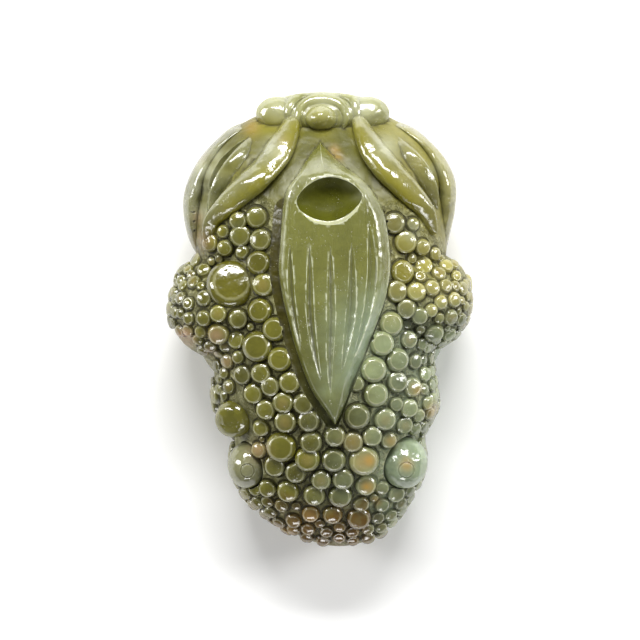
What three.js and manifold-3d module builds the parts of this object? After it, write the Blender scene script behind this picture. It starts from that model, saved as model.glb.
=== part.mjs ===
// A money toad carved from one pebble of jade, in millimetres, +Z up.
// It lies on its belly at z = 0 and looks along -Y. Its origin is the middle of its footprint.
// The warty skin is triangulated from its own corners. Every other form is a sphere or a box whose vertices
// a function moves. The forms are joined into one solid.
import * as THREE from 'three';
import { ConvexHull } from 'three/addons/math/ConvexHull.js';
import { mergeVertices } from 'three/addons/utils/BufferGeometryUtils.js';
import Module from 'manifold-3d';

const wasm = await Module();
wasm.setup();

// Driving dimensions
const halfLength = 25;
const flank = { halfWidth: 12.5, peakY: 4, rumpPower: 2.3, snoutPower: 3, root: 2 };
const back = { rise: 11.2, peakY: 1, rumpPower: 2, snoutPower: 2.2, rumpRoot: 1.15, snoutRoot: 1.6 };
const belly = { depth: 0.5, power: 4, root: 2 };
const middle = { height: 7.4, slope: 0.06 };
const neck = { y: -12.8, reach: 2.6, pinch: 0.09 };
const squareness = 2.4;

// The head leans to the toad's left, and the snout a little more
const lean = { head: 0.65, headFrom: -3, headTo: -14, snout: 1.25, snoutFrom: -19, snoutTo: -25 };

// Swellings of the skin on each side: haunches, the corners of the rump, shoulders, the waist in front of
// them, which is a shallow dent, glands behind the neck, and cheeks
const swellings = [
  { side: -1, y: 13.4, angle: 88, reachY: 9.4, reachAngle: 50, height: 2.1 },
  { side: 1, y: 13.4, angle: 88, reachY: 9.4, reachAngle: 50, height: 1.8 },
  { side: -1, y: 18.6, angle: 84, reachY: 4.6, reachAngle: 42, height: 1.1 },
  { side: 1, y: 18.6, angle: 84, reachY: 4.6, reachAngle: 42, height: 1.1 },
  { side: -1, y: 1.0, angle: 88, reachY: 5.3, reachAngle: 46, height: 4.2 },
  { side: 1, y: 2.0, angle: 88, reachY: 4.9, reachAngle: 46, height: 3.7 },
  { side: -1, y: -6.2, angle: 88, reachY: 3.2, reachAngle: 50, height: -0.45 },
  { side: 1, y: -5.6, angle: 88, reachY: 3.4, reachAngle: 50, height: -0.5 },
  { side: -1, y: -8.6, angle: 80, reachY: 4.0, reachAngle: 40, height: 0.3 },
  { side: 1, y: -8.6, angle: 80, reachY: 4.0, reachAngle: 40, height: 0.5 },
  { side: -1, y: -17.4, angle: 86, reachY: 4.6, reachAngle: 42, height: 0.5 },
  { side: 1, y: -17.4, angle: 86, reachY: 4.6, reachAngle: 42, height: 0.5 },
];
const swellingRoundness = 0.65;

// Eyeballs: centre and radii
const eyes = [
  { centre: [9.0, -15.6, 11.7], radii: [2.6, 2.85, 2.6] },
  { centre: [-8.2, -15.9, 11.0], radii: [2.15, 2.55, 2.4] },
];

// The leaf on the back, from its stem end over the rump to its tip behind the head. Each station gives a
// place along the back, the left and right edges, and the height of the leaf's face there.
const leafStations = [
  [19.5, -0.3, -0.1, 14.1], [18.3, -1.05, 0.8, 16.2], [16.9, -1.95, 2.1, 18.4], [15.7, -2.6, 3.8, 19.9],
  [14.3, -3.65, 5.15, 20.1], [12.6, -4.1, 6.2, 20.1], [10.8, -4.3, 6.85, 20.1], [8.0, -4.5, 7.25, 20.1],
  [5.4, -4.65, 7.35, 20.0], [2.6, -4.25, 6.9, 19.85], [0.4, -3.75, 6.2, 19.7], [-3.0, -2.85, 4.9, 19.4],
  [-7.2, -1.3, 3.2, 19.0], [-10.2, 0.6, 2.0, 18.5], [-11.3, 1.35, 1.5, 17.6],
];
const leaf = {
  crown: 0.9, ridge: 1.1, ridgeFrom: 15.0, ridgeTo: 17.5,
  leftBevel: 0.35, rightBevel: 1.0, leftDrop: 0.4, rightDrop: 0.75,
  flare: 0.25, root: 2.5, leftMargin: 0.85, rightMargin: 0.35,
};

// Gouged flutes: the line of each down the leaf, and its half-width
const fluteDepth = 0.34;
const flutes = [
  { line: [[-3.5, 8.6], [-3.45, 5.0], [-3.2, 1.5], [-2.15, -4.0]], wide: 0.42 },
  { line: [[-1.4, 9.2], [-1.35, 5.0], [-1.3, 0.5], [-0.8, -3.5], [0.0, -7.3]], wide: 0.5 },
  { line: [[0.9, 8.7], [0.92, 5.0], [0.98, 0.0], [0.85, -4.5], [0.95, -9.2]], wide: 0.55 },
  { line: [[3.2, 9.3], [3.25, 5.0], [3.15, 1.0], [2.7, -2.5], [2.0, -6.5]], wide: 0.62 },
  { line: [[5.0, 11.0], [5.3, 8.0], [5.3, 4.0], [4.6, -0.5], [3.1, -5.2]], wide: 0.62 },
];
const hollow = { centre: [0.75, 13.05, 20.3], radii: [3.75, 2.45, 2.9], turn: 0.12 };

// Folded hind legs, seen as three strands on each side over a hollow behind the knee. The thigh and calf
// follow the skin. The shin wraps the outside of the haunch and has its own height.
const hindLegs = [
  {
    thigh: [
      [-3.2, 23.2], [-4.3, 20.4], [-5.7, 17.6], [-7.8, 15.2], [-10.0, 12.9], [-11.7, 10.8], [-12.4, 8.3],
    ],
    thighWide: [1.7, 2.0, 1.85, 1.5, 1.25, 0.9, 0.5],
    pocket: [[-8.6, 19.8], [-10.5, 17.4], [-12.0, 14.0], [-12.7, 11.0]],
    pocketWide: [0.7, 1.15, 0.95, 0.4],
    calf: [[-8.2, 19.2], [-9.5, 17.2], [-11.1, 14.8], [-12.2, 12.0]],
    calfWide: [0.5, 0.75, 0.55, 0.3],
    shin: [
      [-6.4, 22.0, 9.6], [-8.9, 21.2, 9.7], [-10.5, 20.0, 9.7], [-12.1, 18.2, 9.8], [-13.4, 16.1, 9.8],
      [-14.2, 13.8, 9.7], [-14.35, 11.6, 9.5], [-14.0, 9.1, 9.1], [-13.3, 6.9, 8.7],
    ],
  },
  {
    thigh: [[3.7, 23.0], [4.8, 20.5], [5.9, 18.3], [7.5, 16.1], [9.5, 13.9], [11.1, 11.8], [12.1, 9.2]],
    thighWide: [1.6, 1.85, 1.85, 1.65, 1.4, 1.1, 0.55],
    pocket: [[8.8, 19.4], [10.4, 17.3], [11.7, 15.0], [12.4, 12.3]],
    pocketWide: [0.5, 0.9, 0.8, 0.4],
    calf: [[8.6, 19.2], [10.0, 17.2], [11.3, 15.0], [12.2, 12.9]],
    calfWide: [0.6, 0.95, 0.8, 0.3],
    shin: [
      [6.8, 22.1, 9.6], [9.0, 21.2, 9.7], [10.7, 19.9, 9.7], [12.3, 18.1, 9.8], [13.4, 16.1, 9.8],
      [13.8, 14.2, 9.7], [13.7, 11.8, 9.5], [13.4, 9.6, 9.1], [13.2, 7.3, 8.7],
    ],
  },
];
const limb = {
  thighDeep: 1.75, thighLift: 0.35, calfDeep: 1.5, calfLift: -0.9,
  pocketDeep: 1.5, pocketLift: 0.3, shinWide: 2.3, shinDeep: 1.0,
};

// Feet and forearms under the body, given for the right side. The left ones are a little closer to the body.
const leftReach = 0.97;
const foot = [[4.5, 19.6, 2.4], [8.6, 17.0, 2.1], [11.6, 12.0, 1.7]];
const forearm = [[13.6, 0.8, 6.2], [11.4, -3.4, 4.0], [9.6, -7.0, 1.8]];
const toes = [
  { root: [11.0, 13.0, 1.3], tips: [[13.4, 8.6], [12.1, 7.4], [10.6, 7.4]] },
  { root: [9.4, -6.6, 1.4], tips: [[10.6, -10.6], [9.4, -11.6], [7.9, -11.8]] },
];

// Folded lobes over the end of the rump: a bud in the middle with an arch round it, a crescent and a lobe on
// each side, a rim behind them, and the stem under them that reaches the ground
const lobes = {
  pillow: { centre: [0.0, 22.3, 9.6], radii: [6.7, 2.5, 3.6] },
  bud: { centre: [-0.1, 22.1, 12.3], radii: [1.85, 1.4, 2.0] },
  sides: [
    { centre: [-5.25, 22.4, 10.9], radii: [1.75, 1.75, 2.4] },
    { centre: [5.35, 22.4, 10.9], radii: [1.8, 1.8, 2.4] },
  ],
  crescents: [
    [
      [-2.3, 20.6, 12.4], [-2.55, 22.2, 12.7], [-1.8, 23.6, 12.4], [0.0, 24.1, 12.1], [1.85, 23.6, 12.4],
      [2.55, 22.2, 12.7], [2.2, 20.6, 12.4],
    ],
    [[-3.2, 21.0, 12.1], [-3.6, 22.7, 12.2], [-3.0, 24.0, 11.7], [-1.5, 24.7, 10.8]],
    [[2.9, 20.9, 12.1], [3.65, 22.5, 12.2], [3.3, 23.9, 11.7], [1.9, 24.7, 10.8]],
  ],
  rim: [[-7.2, 22.2, 8.9], [-4.6, 23.8, 8.9], [-0.1, 24.35, 8.9], [4.7, 23.8, 8.9], [7.4, 22.2, 8.9]],
  stem: [[0.2, 22.6, 8.5], [0.2, 22.8, 4.5], [0.2, 19.5, 1.0]],
};

// The wart-covered skin
const wartSize = { back: 1.1, side: 0.74, snout: 0.78, variation: 0.3 };
const wartShape = { height: 0.55, shoulder: 0.75, growth: 1.12, fewestSides: 3.3, sidesPerRadius: 2.4 };
const placedGrowth = 1.07;
const plainSpacing = 1.7;
const carvedOverAxis = 0.9;

// A long gland behind the toad's right eye
const gland = { x: -9.5, y: -10.7, halfWidth: 2.1, halfLength: 2.4, height: 1.4 };

// The warts that were set out first, on the back and the head: place and radius
const placedWarts = [
  [-9.9, 4.05, 2.35], [-8.9, 9.1, 1.1], [-9.15, 10.75, 0.95], [-7.1, 11.1, 1.1], [-6.7, 8.7, 1.15],
  [-6.95, 6.2, 1.2], [-10.6, 7.8, 0.85], [-8.7, 7.4, 0.75], [-6.4, 3.8, 1.15], [-6.8, 1.0, 1.2],
  [-9.1, 0.05, 1.0], [-11.3, 0.65, 0.88], [-12.9, 0.15, 0.82], [-12.85, 2.4, 0.85], [-14.6, 1.8, 0.68],
  [-14.05, 4.2, 0.75], [-15.5, 4.3, 0.65], [-12.9, 5.5, 0.75], [-15.5, 2.4, 0.7], [-5.2, -1.0, 1.18],
  [-7.1, -2.9, 1.5], [-9.4, -2.2, 0.95], [-11.3, -1.65, 1.1], [-12.2, -3.0, 0.7], [-4.6, -4.27, 1.2],
  [-6.7, -5.8, 1.05], [-8.7, -6.0, 1.02], [-3.55, -6.8, 1.1], [-5.65, -7.25, 1.0], [-7.5, -8.05, 1.03],
  [-4.25, -9.0, 1.1], [-2.05, -9.15, 1.08], [-6.15, -9.8, 1.05], [-4.0, -11.1, 1.17],
  [-1.45, -11.0, 1.15], [-6.7, -11.8, 0.9], [-10.2, -7.3, 0.75], [-11.4, -7.6, 0.6],
  [-10.4, -4.5, 0.8], [-11.6, -5.0, 0.7], [-4.5, -13.9, 1.5], [-1.2, -13.35, 1.15],
  [-1.6, -15.2, 1.25], [-5.2, -16.0, 1.1], [-2.9, -16.7, 1.12], [-6.95, -14.2, 0.85],
  [1.4, -12.7, 1.08], [1.27, -15.3, 1.2], [4.6, -15.4, 1.48], [3.35, -13.3, 1.07], [5.5, -12.7, 1.05],
  [7.3, -13.1, 0.88], [7.85, 10.5, 1.08], [9.1, 8.4, 1.15], [8.8, 5.2, 1.2], [11.0, 5.9, 1.08],
  [11.0, 7.9, 0.85], [8.2, 3.1, 1.12], [10.25, 3.1, 0.98], [12.0, 3.5, 0.82], [9.15, 1.15, 1.0],
  [7.55, -0.45, 1.2], [10.6, 0.35, 0.9], [11.9, 1.0, 0.68], [12.95, 1.9, 0.75], [13.55, 3.75, 0.72],
  [14.5, 2.2, 0.8], [14.1, 0.25, 0.82], [15.3, 0.0, 0.75], [12.25, -1.6, 1.05], [9.5, -2.15, 0.95],
  [6.55, -2.55, 1.22], [11.0, -2.6, 0.7], [12.8, 5.1, 0.78], [14.0, -1.7, 0.8], [15.5, 3.5, 0.75],
  [5.65, -5.4, 1.28], [8.3, -4.4, 1.18], [8.25, -6.7, 1.12], [5.9, -8.1, 1.22], [9.9, -7.3, 1.05],
  [3.85, -10.5, 1.28], [6.9, -10.85, 1.17], [8.1, -9.2, 0.75], [9.55, -9.65, 0.98],
  [9.05, -11.5, 0.95], [10.2, -4.5, 0.85], [11.3, -5.9, 0.8], [-0.1, -17.5, 1.06], [2.3, -17.4, 1.14],
  [4.8, -18.1, 1.1], [6.6, -18.4, 0.75], [-3.75, -18.8, 1.15], [-0.85, -19.2, 1.14],
  [2.0, -19.3, 1.18], [-6.0, -18.5, 0.95], [4.3, -20.2, 0.85], [-1.25, -21.3, 0.92],
  [1.15, -21.4, 1.02], [4.05, -21.8, 1.2], [-3.15, -22.1, 0.85], [-4.45, -20.35, 0.75],
  [-2.8, -20.4, 0.5], [8.2, -19.1, 0.95], [6.6, -20.3, 0.8], [-7.4, -18.6, 0.7], [-5.7, -21.2, 0.75],
];
const candidates = 7000;
const candidateStride = 4391;
const golden = (Math.sqrt(5) - 1) / 2;

const finestEdge = 0.002;

const degrees = (a) => (a * Math.PI) / 180;
const bell = (t) => Math.exp(-t * t);
const smooth = (t) => THREE.MathUtils.smoothstep(t, 0, 1);
const fraction = (t) => t - Math.floor(t);

// How full the body is at y, from 1 at its peak to 0 at the snout and the rump
function fullness(y, peakY, power, root) {
  const reach = y > peakY ? halfLength - peakY : halfLength + peakY;
  return (1 - Math.min(1, Math.abs(y - peakY) / reach) ** power) ** (1 / root);
}

const midline = (y) =>
  lean.head * smooth((y - lean.headFrom) / (lean.headTo - lean.headFrom)) +
  lean.snout * smooth((y - lean.snoutFrom) / (lean.snoutTo - lean.snoutFrom));
const midHeight = (y) => middle.height + middle.slope * y;
const halfWidth = (y) => {
  const full = fullness(y, flank.peakY, y > flank.peakY ? flank.rumpPower : flank.snoutPower, flank.root);
  return flank.halfWidth * full * (1 - neck.pinch * bell((y - neck.y) / neck.reach));
};
const rise = (y) =>
  y > back.peakY
    ? back.rise * fullness(y, back.peakY, back.rumpPower, back.rumpRoot)
    : back.rise * fullness(y, back.peakY, back.snoutPower, back.snoutRoot);
const drop = (y) => (midHeight(y) + belly.depth) * fullness(y, 0, belly.power, belly.root);

function swelling(y, angle) {
  let height = 0;
  for (const s of swellings) {
    const along = (y - s.y) / s.reachY;
    const around = (angle - s.side * degrees(s.angle)) / degrees(s.reachAngle);
    height += s.height * Math.max(0, 1 - along * along - around * around) ** swellingRoundness;
  }
  return height;
}

// A point of the skin, seen from the body's axis in the direction of a unit vector
function skinPoint(direction) {
  const y = halfLength * direction.y;
  const angle = Math.atan2(direction.x, direction.z);
  const across = Math.abs(Math.sin(angle)) / Math.max(1e-6, halfWidth(y));
  const up = Math.abs(Math.cos(angle)) / Math.max(1e-6, Math.cos(angle) > 0 ? rise(y) : drop(y));
  const ends = Math.sqrt(1 - direction.y * direction.y);
  const oval = (across ** squareness + up ** squareness) ** (-1 / squareness);
  const reach = oval + swelling(y, angle) * Math.min(1, 3 * ends);
  return new THREE.Vector3(midline(y) + reach * Math.sin(angle), y, midHeight(y) + reach * Math.cos(angle));
}

// The direction in which the body's axis sees a point
function directionOf(point) {
  const y = THREE.MathUtils.clamp(point.y / halfLength, -0.9985, 0.9985);
  const angle = Math.atan2(point.x - midline(point.y), point.z - midHeight(point.y));
  const around = Math.sqrt(1 - y * y);
  return new THREE.Vector3(around * Math.sin(angle), y, around * Math.cos(angle));
}

// The skin's outward normal, from two short steps on the unit sphere
function skinNormal(direction) {
  const step = 0.02;
  const aside = new THREE.Vector3(direction.z, 0, -direction.x);
  if (aside.lengthSq() < 1e-8) aside.set(1, 0, 0);
  aside.normalize();
  const along = new THREE.Vector3().crossVectors(aside, direction);
  const slope = (t) =>
    skinPoint(direction.clone().addScaledVector(t, step).normalize())
      .sub(skinPoint(direction.clone().addScaledVector(t, -step).normalize()));
  return slope(along).cross(slope(aside)).normalize();
}

// The height of the skin above a place of the plan, found by halving the angle at which the axis sees it
function skinTop(x, y) {
  const height = THREE.MathUtils.clamp(y / halfLength, -0.996, 0.996);
  const around = Math.sqrt(1 - height * height);
  let [low, high] = [-1.68, 1.68];
  let point;
  for (let i = 0; i < 24; i++) {
    const angle = (low + high) / 2;
    point = skinPoint(new THREE.Vector3(around * Math.sin(angle), height, around * Math.cos(angle)));
    if (point.x < x) low = angle;
    else high = angle;
  }
  return point.z;
}

const onSkin = (places, lift) => places.map(([x, y]) => [x, y, skinTop(x, y) + lift]);

// A closed three.js geometry as a solid
function solid(geometry) {
  geometry.deleteAttribute('normal');
  geometry.deleteAttribute('uv');
  const merged = mergeVertices(geometry, 1e-4);
  return new wasm.Manifold(new wasm.Mesh({
    numProp: 3,
    vertProperties: merged.attributes.position.array,
    triVerts: new Uint32Array(merged.index.array),
  }));
}

function moveVertices(geometry, place) {
  const position = geometry.attributes.position;
  const vertex = new THREE.Vector3();
  for (let i = 0; i < position.count; i++) {
    vertex.fromBufferAttribute(position, i);
    const moved = place(vertex);
    position.setXYZ(i, moved.x, moved.y, moved.z);
  }
  return geometry;
}

function oval({ centre, radii }, sides = 12, rings = 8) {
  return solid(new THREE.SphereGeometry(1, sides, rings).scale(...radii).translate(...centre));
}

// A number from a list that is spread evenly from t = 0 to t = 1
function along(list, t) {
  const step = t * (list.length - 1);
  const below = Math.min(list.length - 2, Math.floor(step));
  return THREE.MathUtils.lerp(list[below], list[below + 1], step - below);
}

// A spindle along a curve, pointed or round at its ends: a limb, a fold, a toe or a groove. Its half-width
// may change along the curve. Its depth lies along facing, or away from the body's axis.
function spindle(points, { wide, deep, plump = 0.7, square = 2, sides = 8, rings = 12, facing }) {
  const curve = new THREE.CatmullRomCurve3(points.map((p) => new THREE.Vector3(...p)));
  return solid(moveVertices(new THREE.SphereGeometry(1, sides, rings), (v) => {
    const t = Math.acos(THREE.MathUtils.clamp(v.y, -1, 1)) / Math.PI;
    const centre = curve.getPoint(t);
    const outward = facing
      ? new THREE.Vector3(...facing)
      : new THREE.Vector3(centre.x - midline(centre.y), 0, centre.z - midHeight(centre.y)).normalize();
    const side = new THREE.Vector3().crossVectors(outward, curve.getTangent(t)).normalize();
    const ring = Math.hypot(v.x, v.z);
    if (ring < 1e-6) return centre;
    const [c, s] = [v.x / ring, v.z / ring];
    const size = ring ** plump * (Math.abs(c) ** square + Math.abs(s) ** square) ** (-1 / square);
    const halfWide = Array.isArray(wide) ? along(wide, t) : wide;
    return centre.addScaledVector(side, c * halfWide * size).addScaledVector(outward, s * deep * size);
  }));
}

const mirrored = (points, side) => points.map(([x, y, z]) => [(side > 0 ? leftReach : -1) * x, y, z]);

// The leaf's edges and the height of its face at y, on a smooth curve through the stations
const leafCurve = [1, 2, 3].map((k) =>
  new THREE.CatmullRomCurve3(leafStations.map((station) => new THREE.Vector3(station[0], station[k], 0)))
    .getPoints(300));

function leafStation(y) {
  return leafCurve.map((points) => {
    const below = points.findIndex((p) => p.x <= y);
    if (below <= 0) return points[below < 0 ? points.length - 1 : 0].y;
    const [a, b] = [points[below - 1], points[below]];
    return THREE.MathUtils.mapLinear(y, a.x, b.x, a.y, b.y);
  });
}

// The height of the leaf's face at a place, without the bevels: crowned, and roof-like at the prow
function leafFace(x, y) {
  const [left, right, height] = leafStation(y);
  const across = THREE.MathUtils.clamp((2 * x - left - right) / (right - left), -1, 1);
  const roof = smooth((y - leaf.ridgeFrom) / (leaf.ridgeTo - leaf.ridgeFrom));
  return height - THREE.MathUtils.lerp(leaf.crown * across * across, leaf.ridge * Math.abs(across), roof);
}

// The outermost columns of the box are the bevels along the leaf's edges
function leafBody() {
  const box = new THREE.BoxGeometry(2, 1, 1, 8, 20, 1);
  const [first, last] = [leafStations[0][0], leafStations.at(-1)[0]];
  return solid(moveVertices(box, (v) => {
    const y = THREE.MathUtils.lerp(first, last, 0.5 - v.y);
    const [left, right] = leafStation(y);
    const half = (right - left) / 2;
    const middleX = (right + left) / 2;
    const bevel = Math.min(v.x < 0 ? leaf.leftBevel : leaf.rightBevel, 0.4 * half);
    const drop = bevel * (v.x < 0 ? leaf.leftDrop / leaf.leftBevel : leaf.rightDrop / leaf.rightBevel);
    const outer = Math.abs(v.x) > 0.99;
    const out = Math.sign(v.x) * (outer ? half : (half - bevel) * (Math.abs(v.x) / 0.75));
    const top = leafFace(middleX + out, y) - (outer ? drop : 0);
    if (v.z > 0) return new THREE.Vector3(middleX + out, y, top);
    const flare = leaf.flare * v.x * Math.min(1, half);
    const sill = Math.min(top - 0.2, skinTop(middleX + out, y));
    return new THREE.Vector3(middleX + out + flare, y, sill - leaf.root);
  }));
}

function leafFlute({ line, wide }) {
  const curve = new THREE.CatmullRomCurve3(line.map(([x, y]) => new THREE.Vector3(x, y, 0)));
  const points = curve.getPoints(6).map(({ x, y }) => [x, y, leafFace(x, y) + 0.12]);
  return spindle(points, { wide, deep: fluteDepth + 0.12, plump: 0.8, square: 1.4, sides: 6, rings: 8 });
}

// The scooped hollow at the leaf's broad end, pointed at both corners
function leafHollow() {
  const geometry = new THREE.SphereGeometry(1, 14, 10);
  geometry.rotateX(Math.PI / 2);
  moveVertices(geometry, (v) => {
    const pinch = 1 - 0.3 * v.x * v.x;
    return new THREE.Vector3(v.x * hollow.radii[0], v.y * hollow.radii[1] * pinch, v.z * hollow.radii[2]);
  });
  return solid(geometry.rotateZ(hollow.turn).translate(...hollow.centre));
}

function hindLegStrands({ thigh, thighWide, calf, calfWide, shin }) {
  return [
    spindle(onSkin(calf, limb.calfLift),
      { wide: calfWide, deep: limb.calfDeep, plump: 0.55, square: 1.7, sides: 5, rings: 7 }),
    spindle(shin, { wide: limb.shinWide, deep: limb.shinDeep, plump: 0.35, sides: 7, rings: 12 }),
    spindle(onSkin(thigh, limb.thighLift),
      { wide: thighWide, deep: limb.thighDeep, plump: 0.4, square: 1.8, sides: 8, rings: 11 }),
  ];
}

const pocketBehindKnee = ({ pocket, pocketWide }) => spindle(onSkin(pocket, limb.pocketLift),
  { wide: pocketWide, deep: limb.pocketDeep, plump: 0.5, sides: 6, rings: 7 });

// Feet, forearms and toes, which stay under the body
function feet(side) {
  return [
    spindle(mirrored(foot, side), { wide: 2.2, deep: 1.8, sides: 7, rings: 6 }),
    spindle(mirrored(forearm, side), { wide: 2.0, deep: 1.9, sides: 7, rings: 6 }),
    ...toes.flatMap(({ root, tips }) => tips.map(([x, y]) =>
      spindle(mirrored([root, [x, y, 0.7]], side), { wide: 0.95, deep: 0.95, sides: 5, rings: 4 }))),
  ];
}

function rumpLobes() {
  return [
    oval(lobes.pillow, 14, 8),
    oval(lobes.bud, 10, 8),
    ...lobes.sides.map((lobe) => oval(lobe, 10, 8)),
    ...lobes.crescents.map((line) => spindle(line,
      { wide: 0.55, deep: 0.9, plump: 0.5, square: 1.7, sides: 5, rings: line.length + 3, facing: [0, 0.3, 1] })),
    spindle(lobes.rim, { wide: 2.2, deep: 0.75, plump: 0.3, sides: 7, rings: 10, facing: [0, 1, 0] }),
    spindle(lobes.stem, { wide: 2.2, deep: 1.7, sides: 7, rings: 6 }),
  ];
}

// The mouth, a groove round the snout that drops a little towards its corners
function mouth() {
  const points = [];
  for (let i = -8; i <= 8; i++) {
    const turn = degrees(62) * (i / 8);
    const fall = -0.14 * Math.abs(Math.sin(turn)) - 0.02;
    const direction = new THREE.Vector3(Math.sin(turn), -Math.cos(turn), fall);
    points.push(skinPoint(direction.normalize()).toArray());
  }
  return spindle(points, { wide: 0.45, deep: 0.7, plump: 0.3, sides: 4, rings: 14 });
}

function glandDome() {
  const { x, y } = gland;
  const at = new THREE.Vector3(x, y, skinTop(x, y));
  const facing = skinNormal(directionOf(at)).add(new THREE.Vector3(0, 0, 0.6)).normalize();
  const geometry = new THREE.SphereGeometry(1, 12, 10).rotateX(Math.PI / 2);
  geometry.scale(gland.halfWidth, gland.halfLength, gland.height);
  geometry.lookAt(facing);
  return solid(geometry.translate(at.x, at.y, at.z));
}

// Where no warts grow: over the legs, under the leaf, the eyes and the gland, and on the belly
function isBare(point, angle) {
  const { x, y, z } = point;
  const kneeLine = x < 0 ? 11.8 - Math.abs(x + 9) : 11.4 - 1.05 * Math.abs(x - 9.2);
  const overLegs = y > (Math.abs(x) < 9 ? 12.4 : kneeLine) || (Math.abs(x) > 12.4 && y > 6.6);
  const [left, right] = leafStation(y);
  const besideLeaf = x > left - leaf.leftMargin && x < right + leaf.rightMargin;
  const underLeaf = Math.abs(angle) < 1.22 && y > -11.6 && besideLeaf;
  const low = z < (y < -18 ? 6.2 : 4.2) || y < -24.4;
  const overGland = z > 6 && ((x - gland.x) / 2.2) ** 2 + ((y - gland.y) / 2.7) ** 2 < 1;
  const overEye = eyes.some(({ centre, radii }) =>
    ['x', 'y', 'z'].reduce((sum, k, i) => sum + ((point[k] - centre[i]) / (radii[i] + 0.45)) ** 2, 0) < 1);
  return overLegs || underLeaf || low || overGland || overEye;
}

function sizeAt(point, angle) {
  const size = THREE.MathUtils.lerp(wartSize.back, wartSize.side, smooth((Math.abs(angle) - 0.5) / 0.8));
  return THREE.MathUtils.lerp(size, wartSize.snout, smooth((-18 - point.y) / 5));
}

function place(direction, radius, pinned) {
  const point = skinPoint(direction);
  return { direction, point, radius, pinned, plain: isBare(point, Math.atan2(direction.x, direction.z)) };
}

// Candidates lie on a golden spiral and are tried in a scrambled order. Those that fit are then pushed apart.
// A place where no wart may grow still counts, as one plain point of the skin.
function growWarts() {
  const places = placedWarts.map(([x, y, radius]) =>
    place(directionOf(new THREE.Vector3(x, y, skinTop(x, y))), placedGrowth * radius, true));
  for (let i = 0; i < candidates; i++) {
    const k = (i * candidateStride) % candidates;
    const y = 1 - (2 * k + 1) / candidates;
    const turn = 2 * Math.PI * fraction(k * golden);
    const around = Math.sqrt(1 - y * y);
    const direction = new THREE.Vector3(around * Math.sin(turn), y, around * Math.cos(turn));
    const next = place(direction, plainSpacing, false);
    if (!next.plain) {
      next.radius = sizeAt(next.point, turn > Math.PI ? turn - 2 * Math.PI : turn) *
        (1 + wartSize.variation * (fraction(i * golden) - 0.5));
    }
    const fits = places.every((p) => p.point.distanceTo(next.point) > 0.85 * (p.radius + next.radius));
    if (fits) places.push(next);
  }
  for (let round = 0; round < 40; round++) {
    const pushes = places.map((a) => {
      const push = new THREE.Vector3();
      for (const b of places) {
        const gap = a.point.distanceTo(b.point);
        const want = 1.04 * (a.radius + b.radius);
        if (b === a || gap > want) continue;
        push.addScaledVector(a.point.clone().sub(b.point), (0.35 * (want - gap)) / gap);
      }
      return push;
    });
    places.forEach((p, i) => {
      if (p.pinned) return;
      const push = pushes[i].divide(new THREE.Vector3(flank.halfWidth, halfLength, back.rise));
      Object.assign(p, place(p.direction.clone().add(push).normalize(), p.radius, false));
    });
  }
  // A wart ends where its nearest neighbour begins
  const warts = places.filter((p) => !p.plain || p.pinned);
  const room = (w, other) => {
    const gap = 0.98 * w.point.distanceTo(other.point);
    return other.pinned ? gap - other.radius : (gap * w.radius) / (w.radius + other.radius);
  };
  const radii = warts.map((w) => {
    const others = warts.filter((other) => other !== w);
    const most = wartShape.growth * w.radius;
    return w.pinned ? w.radius : Math.min(most, ...others.map((other) => room(w, other)));
  });
  warts.forEach((w, i) => {
    w.radius = radii[i];
  });
  const carved = ({ plain, point }) => plain || point.z > midHeight(point.y) + carvedOverAxis;
  return places.filter((p) => p.radius > 0.35 && carved(p));
}

// The skin is triangulated on a sphere on which small circles of the skin stay nearly round,
// so a slice of the body at y lies at the latitude that adds up length over radius, as on a Mercator map.
const latitudeSteps = 500;
const farthest = 0.9985 * halfLength;
const latitudes = [0];
for (let i = 1; i <= latitudeSteps; i++) {
  const radius = (y) => 0.5 * (halfWidth(y) + rise(y));
  const from = farthest * (2 * (i - 1) / latitudeSteps - 1);
  const to = farthest * (2 * i / latitudeSteps - 1);
  const slant = Math.hypot(to - from, radius(to) - radius(from));
  latitudes.push(latitudes[i - 1] + slant / radius((from + to) / 2));
}

function mapDirection(point) {
  const y = THREE.MathUtils.clamp(point.y, -farthest, farthest);
  const step = (0.5 + 0.5 * y / farthest) * latitudeSteps;
  const below = Math.min(latitudeSteps - 1, Math.floor(step));
  const latitude = THREE.MathUtils.lerp(latitudes[below], latitudes[below + 1], step - below) -
    0.5 * latitudes[latitudeSteps];
  const angle = Math.atan2(point.x - midline(point.y), point.z - midHeight(point.y));
  const direction = new THREE.Vector3(Math.sin(angle), Math.sinh(latitude), Math.cos(angle));
  return direction.divideScalar(Math.cosh(latitude));
}

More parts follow.
